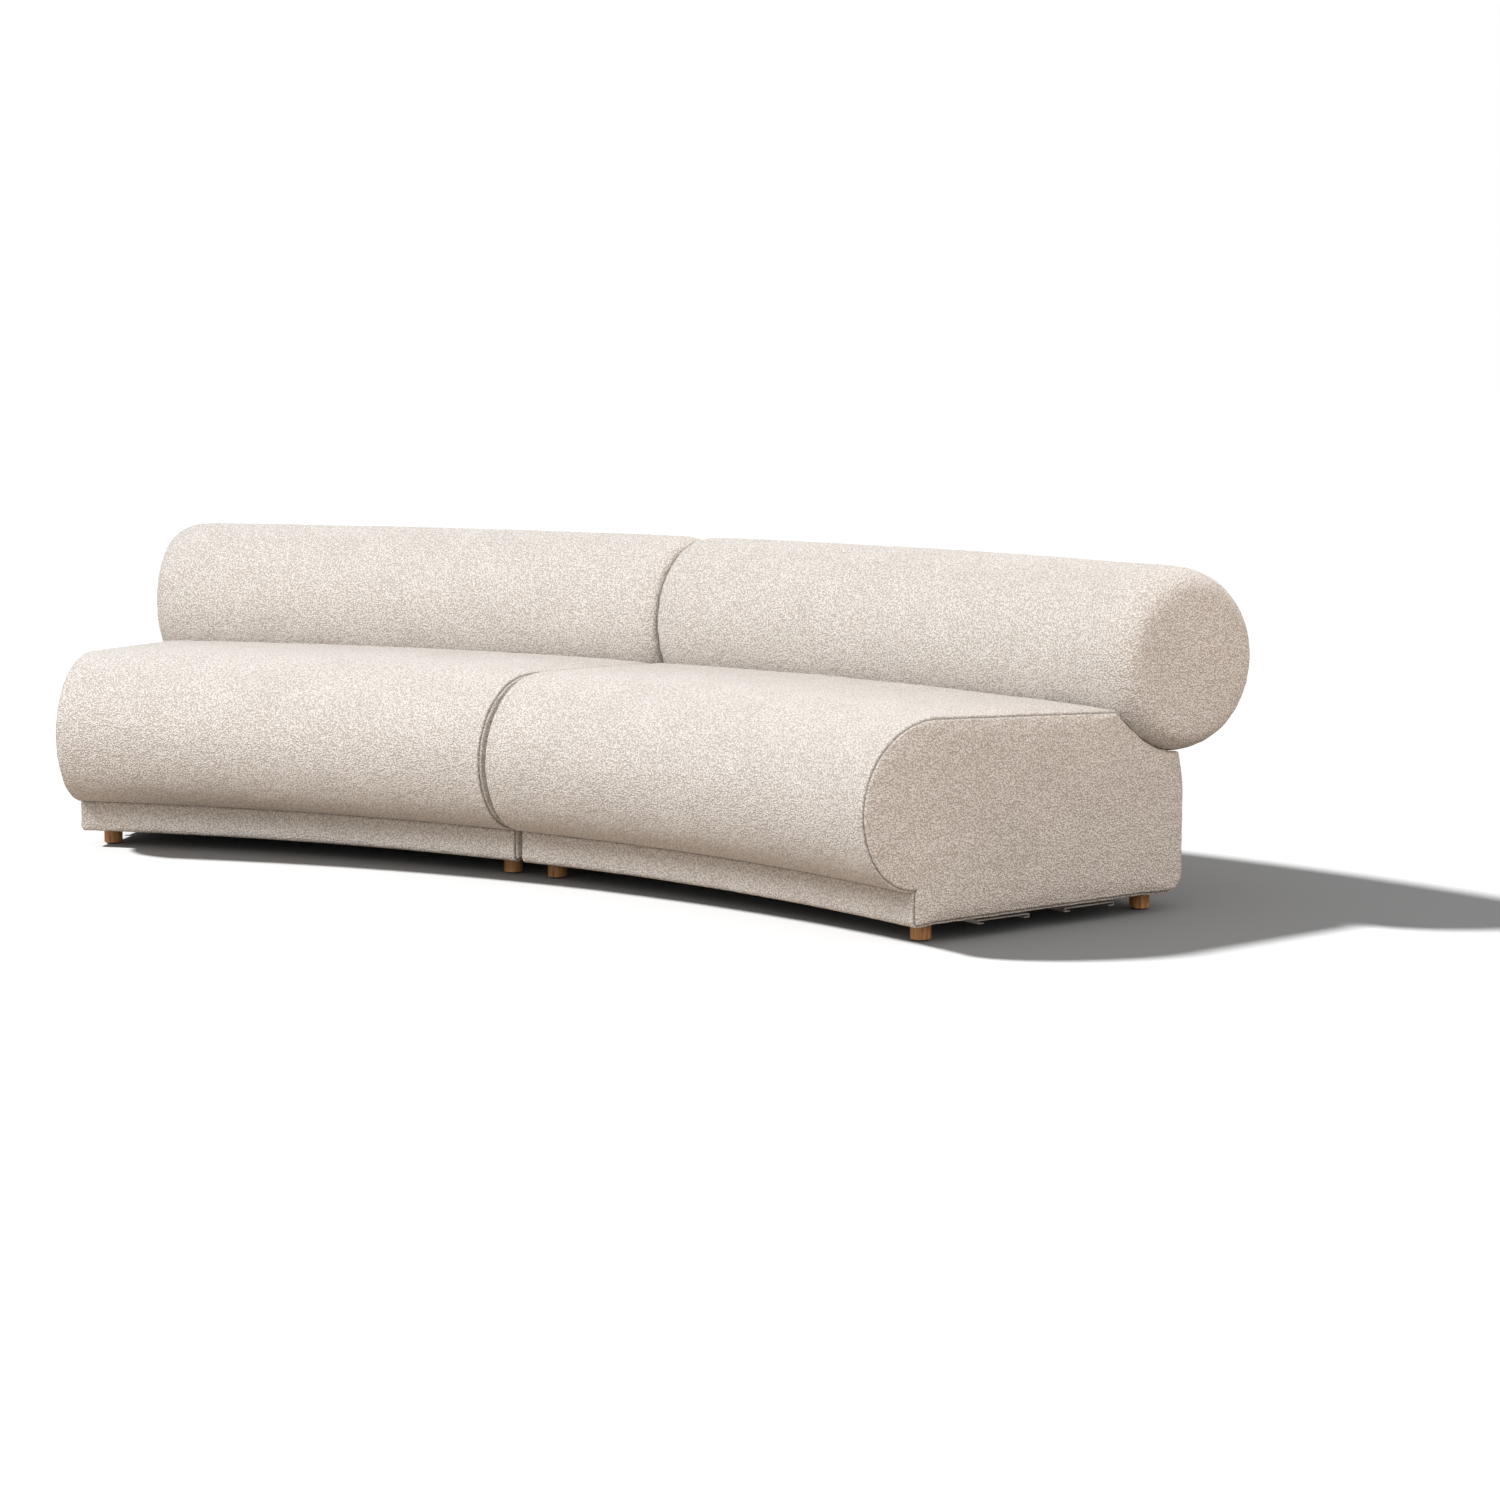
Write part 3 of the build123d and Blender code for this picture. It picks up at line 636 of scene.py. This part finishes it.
def swell_to_roll(points, reach):
    """Lifts the cradle towards the roll, which thins towards its end, at that distance inside the end."""
    past = min(1.0, max(0.0, (ROLL_RUN - BOLSTER_OVERHANG - reach) / ROLL_RUN))
    lift = ROLL_DROP * (1 - sqrt(1 - past**2)) + EDGE_LIFT * exp(-reach / EDGE_LIFT_FADE)
    first = SIDE_STEPS + LONG_STEPS + REAR_STEPS["lip"]
    weights = np.concatenate([np.clip(np.arange(REAR_STEPS["cradle"]) / 5, 0, 1), [1.0, 0.55, 0.25, 0.1]])
    zone = slice(first, first + len(weights))
    way = np.array(BOLSTER_CENTRE) - points[zone]
    points[zone] += way / np.linalg.norm(way, axis=1, keepdims=True) * (weights * lift)[:, None]
    return points


def sleeve_section(inset, reach):
    """The outline, its crease pulled in, its cradle met to the roll, its underside clear of the sheet."""
    points = swell_to_roll(crease_pull(outline(inset)), reach)
    under = zone_of == step_names.index("under")
    edge = np.clip(np.minimum(points[:, 0] - UNDER_FRONT, UNDER_BACK - points[:, 0]) / UNDER_BLEND, 0, 1)
    points[under, 1] += UNDER_LIFT * edge[under]
    return points


def roll_rows():
    """(inset from the outline, distance from the end plane) for rows rolling over to the seam."""
    turns = np.radians(np.linspace(0, 45, ROLL_STEPS))
    inset = EDGE_ROUND * (1 - np.cos(turns))
    reach = EDGE_ROUND * (1 - np.sin(turns))
    dip = SEAM_DEPTH * np.array([0.0, -0.12, 0.1, 1.0]) / sqrt(2)
    return inset + dip, reach + dip


roll_inset, roll_reach = roll_rows()
LENGTH_STEPS = 120


def sleeve_rows():
    """Each row's inset and angle from one end seam to the other, in the module's own frame."""
    end_angle = HALF - roll_reach / MEAN_RADIUS
    middle = np.linspace(-end_angle[0], end_angle[0], LENGTH_STEPS + 1)[1:-1]
    insets = np.concatenate([roll_inset[::-1], np.zeros(len(middle)), roll_inset])
    angles = np.concatenate([-end_angle[::-1], middle, end_angle])
    return insets, angles


row_insets, row_angles = sleeve_rows()
row_reaches = (HALF - np.abs(row_angles)) * MEAN_RADIUS
sleeve_sections = np.stack([sleeve_section(inset, reach) for inset, reach in zip(row_insets, row_reaches)])
sleeve = on_ring(sleeve_sections[..., 0], sleeve_sections[..., 1], row_angles[:, None])
print("sleeve grid", sleeve.shape)

# %% The woven end panel
def woven(ring):
    """Points between a ring's four sides: the sum of the two crossing threads, less the corners' sheet."""
    a, b = SIDE_STEPS, LONG_STEPS
    closed = np.concatenate([ring, ring[:1]])
    front, top = closed[: a + 1], closed[a : a + b + 1]
    rear, under = closed[a + b : 2 * a + b + 1][::-1], closed[2 * a + b :][::-1]
    s = np.linspace(0, 1, b + 1)[None, :, None]
    t = np.linspace(0, 1, a + 1)[:, None, None]
    threads = (1 - s) * front[:, None] + s * rear[:, None] + (1 - t) * under[None] + t * top[None]
    corners = (
        (1 - s) * (1 - t) * front[0]
        + s * (1 - t) * rear[0]
        + (1 - s) * t * front[-1]
        + s * t * rear[-1]
    )
    return threads - corners


def end_panel_points():
    """The rows that roll in from the seam and the woven middle, as (u, z, distance inside the end plane)."""
    rows = []
    for inset, reach in zip(roll_reach[:-1][::-1], roll_inset[:-1][::-1]):
        rows.append(np.column_stack([sleeve_section(inset, reach), np.full(RING, reach)]))
    middle = woven(rows[-1])
    return rows, middle


panel_rows, panel_middle = end_panel_points()
print("end panel", len(panel_rows), "rows and a", panel_middle.shape[:2], "weave")

# %% [markdown]
# The sleeve and both panels share the seam's points, so the whole cover is one closed skin.  The weave's
# own border is the innermost row, and its inside points follow it in the list.

# %% Join the sleeve and panels into one closed skin
def ring_index_grid(first_ring, inside_first):
    """Point numbers of the weave: its border is an existing row, its inside counts on from inside_first."""
    a, b = SIDE_STEPS, LONG_STEPS
    grid = np.empty((a + 1, b + 1), dtype=np.int64)
    ring = first_ring + np.arange(RING)
    grid[:, 0] = ring[: a + 1]
    grid[a, :] = ring[a : a + b + 1]
    grid[:, b] = np.concatenate([ring[a + b : 2 * a + b], ring[2 * a + b : 2 * a + b + 1]])[::-1]
    grid[0, :] = np.concatenate([ring[2 * a + b :], ring[:1]])[::-1]
    grid[1:a, 1:b] = inside_first + np.arange((a - 1) * (b - 1)).reshape(a - 1, b - 1)
    return grid


def closed_skin():
    """Points, quads and each point's kind: 0 sleeve, 1 end panel at the low end, 2 at the high end."""
    points = [sleeve.reshape(-1, 3)]
    rows = len(row_angles)
    faces = [plain_quads(rows, RING, close_columns=True)[:, ::-1]]
    kinds = [np.zeros(rows * RING, dtype=int)]
    count = rows * RING
    for kind, sign, seam_row in ((1, -1, 0), (2, 1, rows - 1)):
        ring_start = [seam_row * RING]
        for row in panel_rows:
            angle = sign * (HALF - row[:, 2] / MEAN_RADIUS)
            points.append(on_ring(row[:, 0], row[:, 1], angle))
            ring_start.append(count)
            kinds.append(np.full(RING, kind))
            count += RING
        inside = panel_middle[1:-1, 1:-1].reshape(-1, 3)
        points.append(on_ring(inside[:, 0], inside[:, 1], sign * (HALF - inside[:, 2] / MEAN_RADIUS)))
        kinds.append(np.full(len(inside), kind))
        strips = []
        column = np.arange(RING)
        after = (column + 1) % RING
        for outer, inner in zip(ring_start[:-1], ring_start[1:]):
            strips.append(np.stack([outer + column, outer + after, inner + after, inner + column], -1))
        grid = ring_index_grid(ring_start[-1], count)
        weave = [grid[:-1, :-1], grid[1:, :-1], grid[1:, 1:], grid[:-1, 1:]]
        strips.append(np.stack(weave, -1).reshape(-1, 4))
        made = np.concatenate(strips)
        faces.append(made if sign < 0 else made[:, ::-1])
        count += len(inside)
    return np.concatenate(points), np.concatenate(faces), np.concatenate(kinds)


skin_points, skin_faces, skin_kinds = closed_skin()
print("skin", len(skin_points), "points", len(skin_faces), "quads")

# %% [markdown]
# ## Stretching the cover over its foam
# A drawn skin looks like plaster.  Real cloth is tight over foam: it crowns between its seams and is held
# flat where boards back it.  Blender's Cloth does this well.  The skin starts a little slack-free,
# pressure stands in for the foam pushing out, and pinned points are those sewn, stapled or clamped.  The
# move is then capped, so no point leaves its place by more than a few millimetres.  One module is
# stretched, and both use the result, because they are cut from the same patterns.

# %% The cloth helper
def stretch_over_foam(name, points, faces, held, pressure, steps, cap):
    """Where each point comes to rest under that pressure, with held points pinned, moved at most by cap."""
    cloth_piece = new_mesh(name, points, faces)
    group = cloth_piece.vertex_groups.new(name="held")
    for weight in np.unique(held[held > 0]):
        group.add(np.flatnonzero(held == weight).tolist(), float(weight), "REPLACE")
    cloth = cloth_piece.modifiers.new("cloth", "CLOTH")
    cloth.settings.quality = 6
    cloth.settings.mass = 0.35
    cloth.settings.tension_stiffness = 60
    cloth.settings.compression_stiffness = 60
    cloth.settings.shear_stiffness = 20
    cloth.settings.bending_stiffness = 4
    cloth.settings.use_pressure = True
    cloth.settings.uniform_pressure_force = pressure
    cloth.settings.vertex_group_mass = "held"
    cloth.settings.effector_weights.gravity = 0
    cloth.collision_settings.use_collision = False
    cloth.point_cache.frame_start, cloth.point_cache.frame_end = 1, steps
    for step in range(1, steps + 1):
        bpy.context.scene.frame_set(step)
    settled = cloth_piece.evaluated_get(bpy.context.evaluated_depsgraph_get())
    rest = read_points(settled.data)
    bpy.context.scene.frame_set(1)
    bpy.data.objects.remove(cloth_piece)
    move = rest - points
    length = np.linalg.norm(move, axis=1, keepdims=True)
    limit = np.broadcast_to(np.asarray(cap).reshape(-1, 1), length.shape)
    capped = move * limit * np.tanh(length / limit) / np.maximum(length, 1e-9)
    furthest, kept = float(length.max()) / MM, float(np.linalg.norm(capped, axis=1).max()) / MM
    print(name, "moved up to", round(furthest, 1), "mm, kept", round(kept, 1))
    return points + capped


def mark_seams(mesh, marks):
    """Writes each point's seam mark, the painted shade that the boucle reads, as an attribute."""
    seam = mesh.attributes.new("seam", "FLOAT", "POINT")
    seam.data.foreach_set("value", np.asarray(marks, dtype=np.float32))


def subdivided(name, points, faces, levels, marks):
    """Points, quads and painted-shade marks after that many rounds of subdivision, which rounds the coarse
    grid.
    """
    coarse = new_mesh(name, points, faces)
    mark_seams(coarse.data, marks)
    divide = coarse.modifiers.new("divide", "SUBSURF")
    divide.levels = divide.render_levels = levels
    fine = coarse.evaluated_get(bpy.context.evaluated_depsgraph_get()).data
    fine_points = read_points(fine)
    corners = np.empty(len(fine.loops), dtype=np.int64)
    fine.loops.foreach_get("vertex_index", corners)
    fine_marks = np.empty(len(fine.vertices), dtype=np.float32)
    fine.attributes["seam"].data.foreach_get("value", fine_marks)
    bpy.data.objects.remove(coarse)
    return fine_points, corners.reshape(-1, 4), fine_marks


# %% Which points of the base are held
def base_held():
    """1 where the cover is sewn, stapled to a board or clamped under the bolster, else 0."""
    held = np.zeros(len(skin_points))
    rows = len(row_angles)
    sleeve_held = np.zeros((rows, RING))
    boards = ["toe", "plinth", "cradle", "back", "heel", "under"]
    sleeve_held[:, np.isin(zone_of, [step_names.index(name) for name in boards])] = 1
    sleeve_held[:, CREASE] = 1
    sleeve_held[[0, -1]] = 1
    held[: rows * RING] = sleeve_held.ravel()
    return held


def base_seams():
    """Painted shade at the seams: 1 round both end panels, a little less in the plinth's crease, else 0."""
    marks = np.zeros(len(skin_points))
    on_sleeve = np.zeros((len(row_angles), RING))
    on_sleeve[:, CREASE] = 0.8
    on_sleeve[[0, -1]] = 1
    marks[: on_sleeve.size] = on_sleeve.ravel()
    return marks


def base_cap():
    """How far each point may move: least at the ends, which stand close to the next module."""
    cap = np.full(len(skin_points), 0.009)
    cap[skin_kinds > 0] = 0.0045
    return cap


base_rest = stretch_over_foam("stretch_base", skin_points, skin_faces, base_held(), 0.6, 16, base_cap())

# %% [markdown]
# ## The bolster's roll
# A bolster is a tube of foam bent to the ring, and its cover has no visible seam.  It is a surface of two
# parameters: how far along the skin from one end's middle to the other's, and how far round.  Its two ends
# differ.  The free end swells past the base in a wide, soft, slightly domed round.  The inner end is
# pressed against its neighbour, so it is nearly flat and tapers only a little before it gets there.  The
# roll is drawn for the right-hand module; the left one is its mirror image.

# %% The bolster's surface
BOLSTER_AXIS = PLINTH_RADIUS + BOLSTER_CENTRE[0]
OUTER_END = HALF + BOLSTER_OVERHANG / BOLSTER_AXIS
INNER_END = MODULE_MIDDLE - BOLSTER_GAP / 2 / BOLSTER_AXIS
ROUND_STEPS = 96


def roll_profile(run, drop, dome):
    """(distance from the end plane, radius) from an end's middle to the straight part's start: a disc that
    falls back by dome towards its rim, then a quarter of an ellipse run long and drop deep."""
    disc = np.linspace(0.012, BOLSTER_RADIUS - drop, 12)
    turns = np.radians(np.linspace(0, 90, 13)[1:])
    along = np.concatenate([np.zeros(len(disc)), run * (1 - np.cos(turns))])
    radius = np.concatenate([disc, BOLSTER_RADIUS - drop + drop * np.sin(turns)])
    return np.column_stack([along + dome * (radius / BOLSTER_RADIUS) ** 2, radius])


def bolster_surface(skin_inset):
    """Points and faces of the closed roll: rings of a growing and shrinking radius carried along the arc."""
    inner, outer = roll_profile(INNER_RUN, INNER_DROP, 0.0), roll_profile(ROLL_RUN, ROLL_DROP, ROLL_DOME)
    inner_angles = inner[:, 0] / BOLSTER_AXIS - INNER_END
    outer_angles = OUTER_END - outer[:, 0] / BOLSTER_AXIS
    straight = np.linspace(inner_angles[-1], outer_angles[-1], 118)[1:-1]
    angles = np.concatenate([inner_angles, straight, outer_angles[::-1]])
    radii = np.concatenate([inner[:, 1], np.full(len(straight), BOLSTER_RADIUS), outer[::-1, 1]]) - skin_inset
    around = np.linspace(0, 2 * pi, ROUND_STEPS, endpoint=False)
    u = BOLSTER_CENTRE[0] + radii[:, None] * np.cos(around)
    z = BOLSTER_CENTRE[1] + radii[:, None] * np.sin(around)
    rings = on_ring(u, z, angles[:, None]).reshape(-1, 3)
    poles = on_ring(BOLSTER_CENTRE[0], BOLSTER_CENTRE[1], np.array([-INNER_END, OUTER_END]))
    count = len(angles) * ROUND_STEPS
    here = np.arange(ROUND_STEPS)
    after = (here + 1) % ROUND_STEPS
    low_fan = np.column_stack([np.full(ROUND_STEPS, count), after, here])
    last = count - ROUND_STEPS
    high_fan = np.column_stack([np.full(ROUND_STEPS, count + 1), last + here, last + after])
    faces = plain_quads(len(angles), ROUND_STEPS, close_columns=True).tolist()
    return np.concatenate([rings, poles]), faces + low_fan.tolist() + high_fan.tolist()


roll_points, roll_faces = bolster_surface(0.002)
print("bolster", len(roll_points), "points")


# %% Remesh and stretch the bolster
VOXEL = 0.011
CRADLE_MARGIN, PRESSED_ANGLE = 4, 0.004


def evenly_meshed(name, points, faces, voxel):
    """The same closed surface as even quads of about that size."""
    uneven = new_mesh(name, points, faces)
    remesh = uneven.modifiers.new("even", "REMESH")
    remesh.mode = "VOXEL"
    remesh.voxel_size = voxel
    even = uneven.evaluated_get(bpy.context.evaluated_depsgraph_get()).data
    even_points = read_points(even)
    corners = np.empty(len(even.loops), dtype=np.int64)
    even.loops.foreach_get("vertex_index", corners)
    bpy.data.objects.remove(uneven)
    return even_points, corners.reshape(-1, 4)


def bolster_held(points):
    """1 where the roll lies in its cradle or is pressed against the next roll, else 0."""
    u = np.hypot(points[:, 0], points[:, 1] - RING_Y) - PLINTH_RADIUS
    turn = np.degrees(np.arctan2(points[:, 2] - BOLSTER_CENTRE[1], u - BOLSTER_CENTRE[0])) % 360
    lip, rear = direction(BOLSTER_CENTRE, LIP_CENTRE), direction(BOLSTER_CENTRE, cradle_end(0))
    lying = (turn > lip - CRADLE_MARGIN) & (turn < rear + CRADLE_MARGIN)
    pressed = np.arctan2(points[:, 0], points[:, 1] - RING_Y) < PRESSED_ANGLE - INNER_END
    return (lying | pressed).astype(float)


even_points, even_faces = evenly_meshed("even_bolster", roll_points, roll_faces, VOXEL)
print("bolster remeshed to", len(even_points), "points")
bolster_rest = stretch_over_foam(
    "stretch_bolster", even_points, even_faces, bolster_held(even_points), 0.6, 14, 0.007
)

# %% [markdown]
# ## Setting both modules down
# The stretched shapes are divided once more, so that the curls can be felt at the edges, and each point is
# then pushed in or out a little by noise: slow swells of the padding, and the lumpy face of the curls.
# The noise is read where the piece stands, so the two modules differ as two real ones do.

# %% Place the padded pieces
SWELL, SWELL_SIZE = 0.0009, 0.16
LUMP, LUMP_SIZE = 0.00085, 0.013
UNDERNEATH_CALM = 0.85


def padded_piece(name, points, faces, marks, side, nodes):
    """A finished padded piece of one module, turned to its side and given its cloth."""
    turned = turn_about_ring(points, MODULE_MIDDLE if side == "right" else -MODULE_MIDDLE)
    piece = new_mesh(f"{side}_{name}", turned, faces)
    normals = read_normals(piece.data)
    underneath = np.clip((-normals[:, 2] - 0.9) / 0.08, 0, 1)
    swell = soft_noise(turned, SWELL_SIZE, 3) * SWELL
    lump = soft_noise(turned, LUMP_SIZE, 5) * LUMP
    push = (swell + lump) * (1 - UNDERNEATH_CALM * underneath)
    write_points(piece.data, turned + normals * push[:, None])
    mark_seams(piece.data, marks)
    piece.data.materials.append(boucle)
    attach(piece, f"{side}_module")
    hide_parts(*[f"{side}_{node}" for node in nodes])
    return piece


base_fine, base_fine_faces, base_marks = subdivided("fine_base", base_rest, skin_faces, 1, base_seams())
no_seams = np.zeros(len(bolster_rest))
bolster_fine, bolster_fine_faces, bolster_marks = subdivided(
    "fine_bolster", bolster_rest, even_faces, 1, no_seams
)
base_nodes = ["seat_cover", "seat_foam", "plinth_band", "back_panel", "end_panel_inner", "end_panel_outer"]
bolster_nodes = ["bolster_cover", "bolster_foam"]
MIRROR = np.array([-1.0, 1.0, 1.0])
for side in ("left", "right"):
    padded_piece("base_upholstery", base_fine, base_fine_faces, base_marks, side, base_nodes)
mirrored_faces = bolster_fine_faces[:, ::-1]
padded_piece("bolster", bolster_fine, bolster_fine_faces, bolster_marks, "right", bolster_nodes)
padded_piece("bolster", bolster_fine * MIRROR, mirrored_faces, bolster_marks, "left", bolster_nodes)
print("base", len(base_fine_faces), "quads, bolster", len(bolster_fine_faces), "quads, for each module")

# %% [markdown]
# ## The dust cloth and its staples
# Under each base a thin pressed cloth keeps dust out and hides the folded edges of the cover.  It is one
# flat piece cut to the ring's curve, pulled tight and stapled all round, and it puckers a little at every
# staple.  A surface of distance out and angle gives it, with a fine noise for the slack between staples,
# and Solidify its thickness.

# %% The dust cloth
DUST_FRONT, DUST_BACK = 0.050, 0.602
DUST_END_INSET = 0.024
DUST_LEVEL = BASE_HEIGHT + 0.00045
DUST_THICKNESS = 0.0005
DUST_SLACK, DUST_SLACK_SIZE = 0.0002, 0.05
STAPLE_INSET, STAPLE_PITCH = 0.012, 0.055
STAPLE_CORNER = 0.02


def dust_half_angle(u):
    """The cloth's ends run parallel to the base's ends, that far inside them."""
    return HALF - DUST_END_INSET / (PLINTH_RADIUS + np.asarray(u))


def dust_grid(rows, columns):
    """Points on the cloth as a grid of distance out by angle, with 0.2 mm of slack."""
    out = np.linspace(DUST_FRONT, DUST_BACK, rows)[:, None]
    angle = dust_half_angle(out) * np.linspace(-1, 1, columns)
    flat = on_ring(out, DUST_LEVEL, angle)
    slack = soft_noise(flat.reshape(-1, 3), DUST_SLACK_SIZE, 11).reshape(flat.shape[:2])
    flat[..., 2] += DUST_SLACK * slack
    return flat


DUST_ROWS, DUST_COLUMNS = 41, 97
dust_points = dust_grid(DUST_ROWS, DUST_COLUMNS)
mid_out = PLINTH_RADIUS + (DUST_FRONT + DUST_BACK) / 2
dust_area = 2 * float(dust_half_angle(mid_out - PLINTH_RADIUS)) * mid_out * (DUST_BACK - DUST_FRONT)


# %% Staples
def staple_places():
    """(u, angle, turn of the crown) for staples all round the cloth, evenly spaced along each side."""
    places = []
    for u in (DUST_FRONT + STAPLE_INSET, DUST_BACK - STAPLE_INSET):
        half = float(dust_half_angle(u)) - STAPLE_INSET / (PLINTH_RADIUS + u)
        count = ceil(2 * half * (PLINTH_RADIUS + u) / STAPLE_PITCH)
        places.append(np.column_stack([np.full(count, u), np.linspace(-half, half, count), np.zeros(count)]))
    for sign in (-1, 1):
        first = DUST_FRONT + STAPLE_INSET + STAPLE_PITCH
        last = DUST_BACK - STAPLE_INSET - STAPLE_CORNER
        out = np.arange(first, last, STAPLE_PITCH)
        angle = sign * (dust_half_angle(out) - STAPLE_INSET / (PLINTH_RADIUS + out))
        places.append(np.column_stack([out, angle, np.full(len(out), pi / 2)]))
    return np.concatenate(places)


STAPLE_CROWN, STAPLE_WIRE, STAPLE_LEG = 0.0105, 0.0011, 0.004
STAPLE_PROUD = 0.0006


def staple_bars():
    """The crown and two legs as boxes, drawn with X along the crown and Z up: centres and half sizes."""
    crown_z = DUST_LEVEL - STAPLE_PROUD / 2
    reach = STAPLE_CROWN / 2 - STAPLE_WIRE / 2
    centres = [(0, 0, crown_z), (-reach, 0, crown_z + STAPLE_LEG / 2), (reach, 0, crown_z + STAPLE_LEG / 2)]
    halves = [
        (STAPLE_CROWN / 2, STAPLE_WIRE / 2, STAPLE_PROUD / 2),
        (STAPLE_WIRE / 2, STAPLE_WIRE / 2, STAPLE_LEG / 2),
        (STAPLE_WIRE / 2, STAPLE_WIRE / 2, STAPLE_LEG / 2),
    ]
    return np.array(centres, dtype=float), np.array(halves)


CUBE_CORNERS = np.array(list(np.ndindex(2, 2, 2))) * 2.0 - 1.0
CUBE_FACES = np.array([[0, 1, 3, 2], [4, 6, 7, 5], [0, 4, 5, 1], [2, 3, 7, 6], [0, 2, 6, 4], [1, 5, 7, 3]])


def staples():
    """Every staple's corners, turned to its place on the ring, and their faces."""
    places = staple_places()
    centres, halves = staple_bars()
    bars = centres[:, None] + halves[:, None] * CUBE_CORNERS
    one = bars.reshape(-1, 3)
    turn = places[:, 2] - places[:, 1]
    x = one[:, 0] * np.cos(turn)[:, None] - one[:, 1] * np.sin(turn)[:, None]
    y = one[:, 0] * np.sin(turn)[:, None] + one[:, 1] * np.cos(turn)[:, None]
    middles = on_ring(places[:, 0], 0.0, places[:, 1])
    points = np.stack([x + middles[:, :1], y + middles[:, 1:2], np.broadcast_to(one[:, 2], x.shape)], -1)
    starts = np.arange(len(places) * len(centres)) * len(CUBE_CORNERS)
    return points.reshape(-1, 3), (starts[:, None, None] + CUBE_FACES).reshape(-1, 4)


staple_points, staple_faces = staples()
for side, turn in (("left", -MODULE_MIDDLE), ("right", MODULE_MIDDLE)):
    dust_faces = plain_quads(DUST_ROWS, DUST_COLUMNS)
    sheet = new_mesh(f"{side}_dust_cloth", turn_about_ring(dust_points, turn), dust_faces)
    thick = sheet.modifiers.new("thick", "SOLIDIFY")
    thick.thickness, thick.offset = DUST_THICKNESS, 0.0
    sheet.data.materials.append(dust_cloth)
    held_down = new_mesh(f"{side}_staples", turn_about_ring(staple_points, turn), staple_faces)
    held_down.data.materials.append(zinc_steel)
    for piece, slot in ((sheet, "dust_cloth"), (held_down, "zinc_steel")):
        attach(piece, f"{side}_module")
    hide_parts(f"{side}_dust_cover")
print(len(staple_faces) // 18, "staples a module")

# %% [markdown]
# ## Which light reaches what
# In the studio the soft panels are flagged off the floor, and the sun lights only the floor, where it
# draws the sofa's shadow.  Light linking does the same here: each lamp is given the things that it may
# light.

# %% Light linking
def shine_only_on(lamp, things):
    """Lets a lamp light only those things; everything still casts its shadow."""
    lit = bpy.data.collections.new(f"lit_by_{lamp.name}")
    for thing in things:
        lit.objects.link(thing)
    lamp.light_linking.receiver_collection = lit


sofa_things = [thing for thing in bpy.context.scene.objects if thing.type == "MESH" and thing != floor]
shine_only_on(floor_sun, [floor])
for panel in panels:
    shine_only_on(panel, sofa_things)
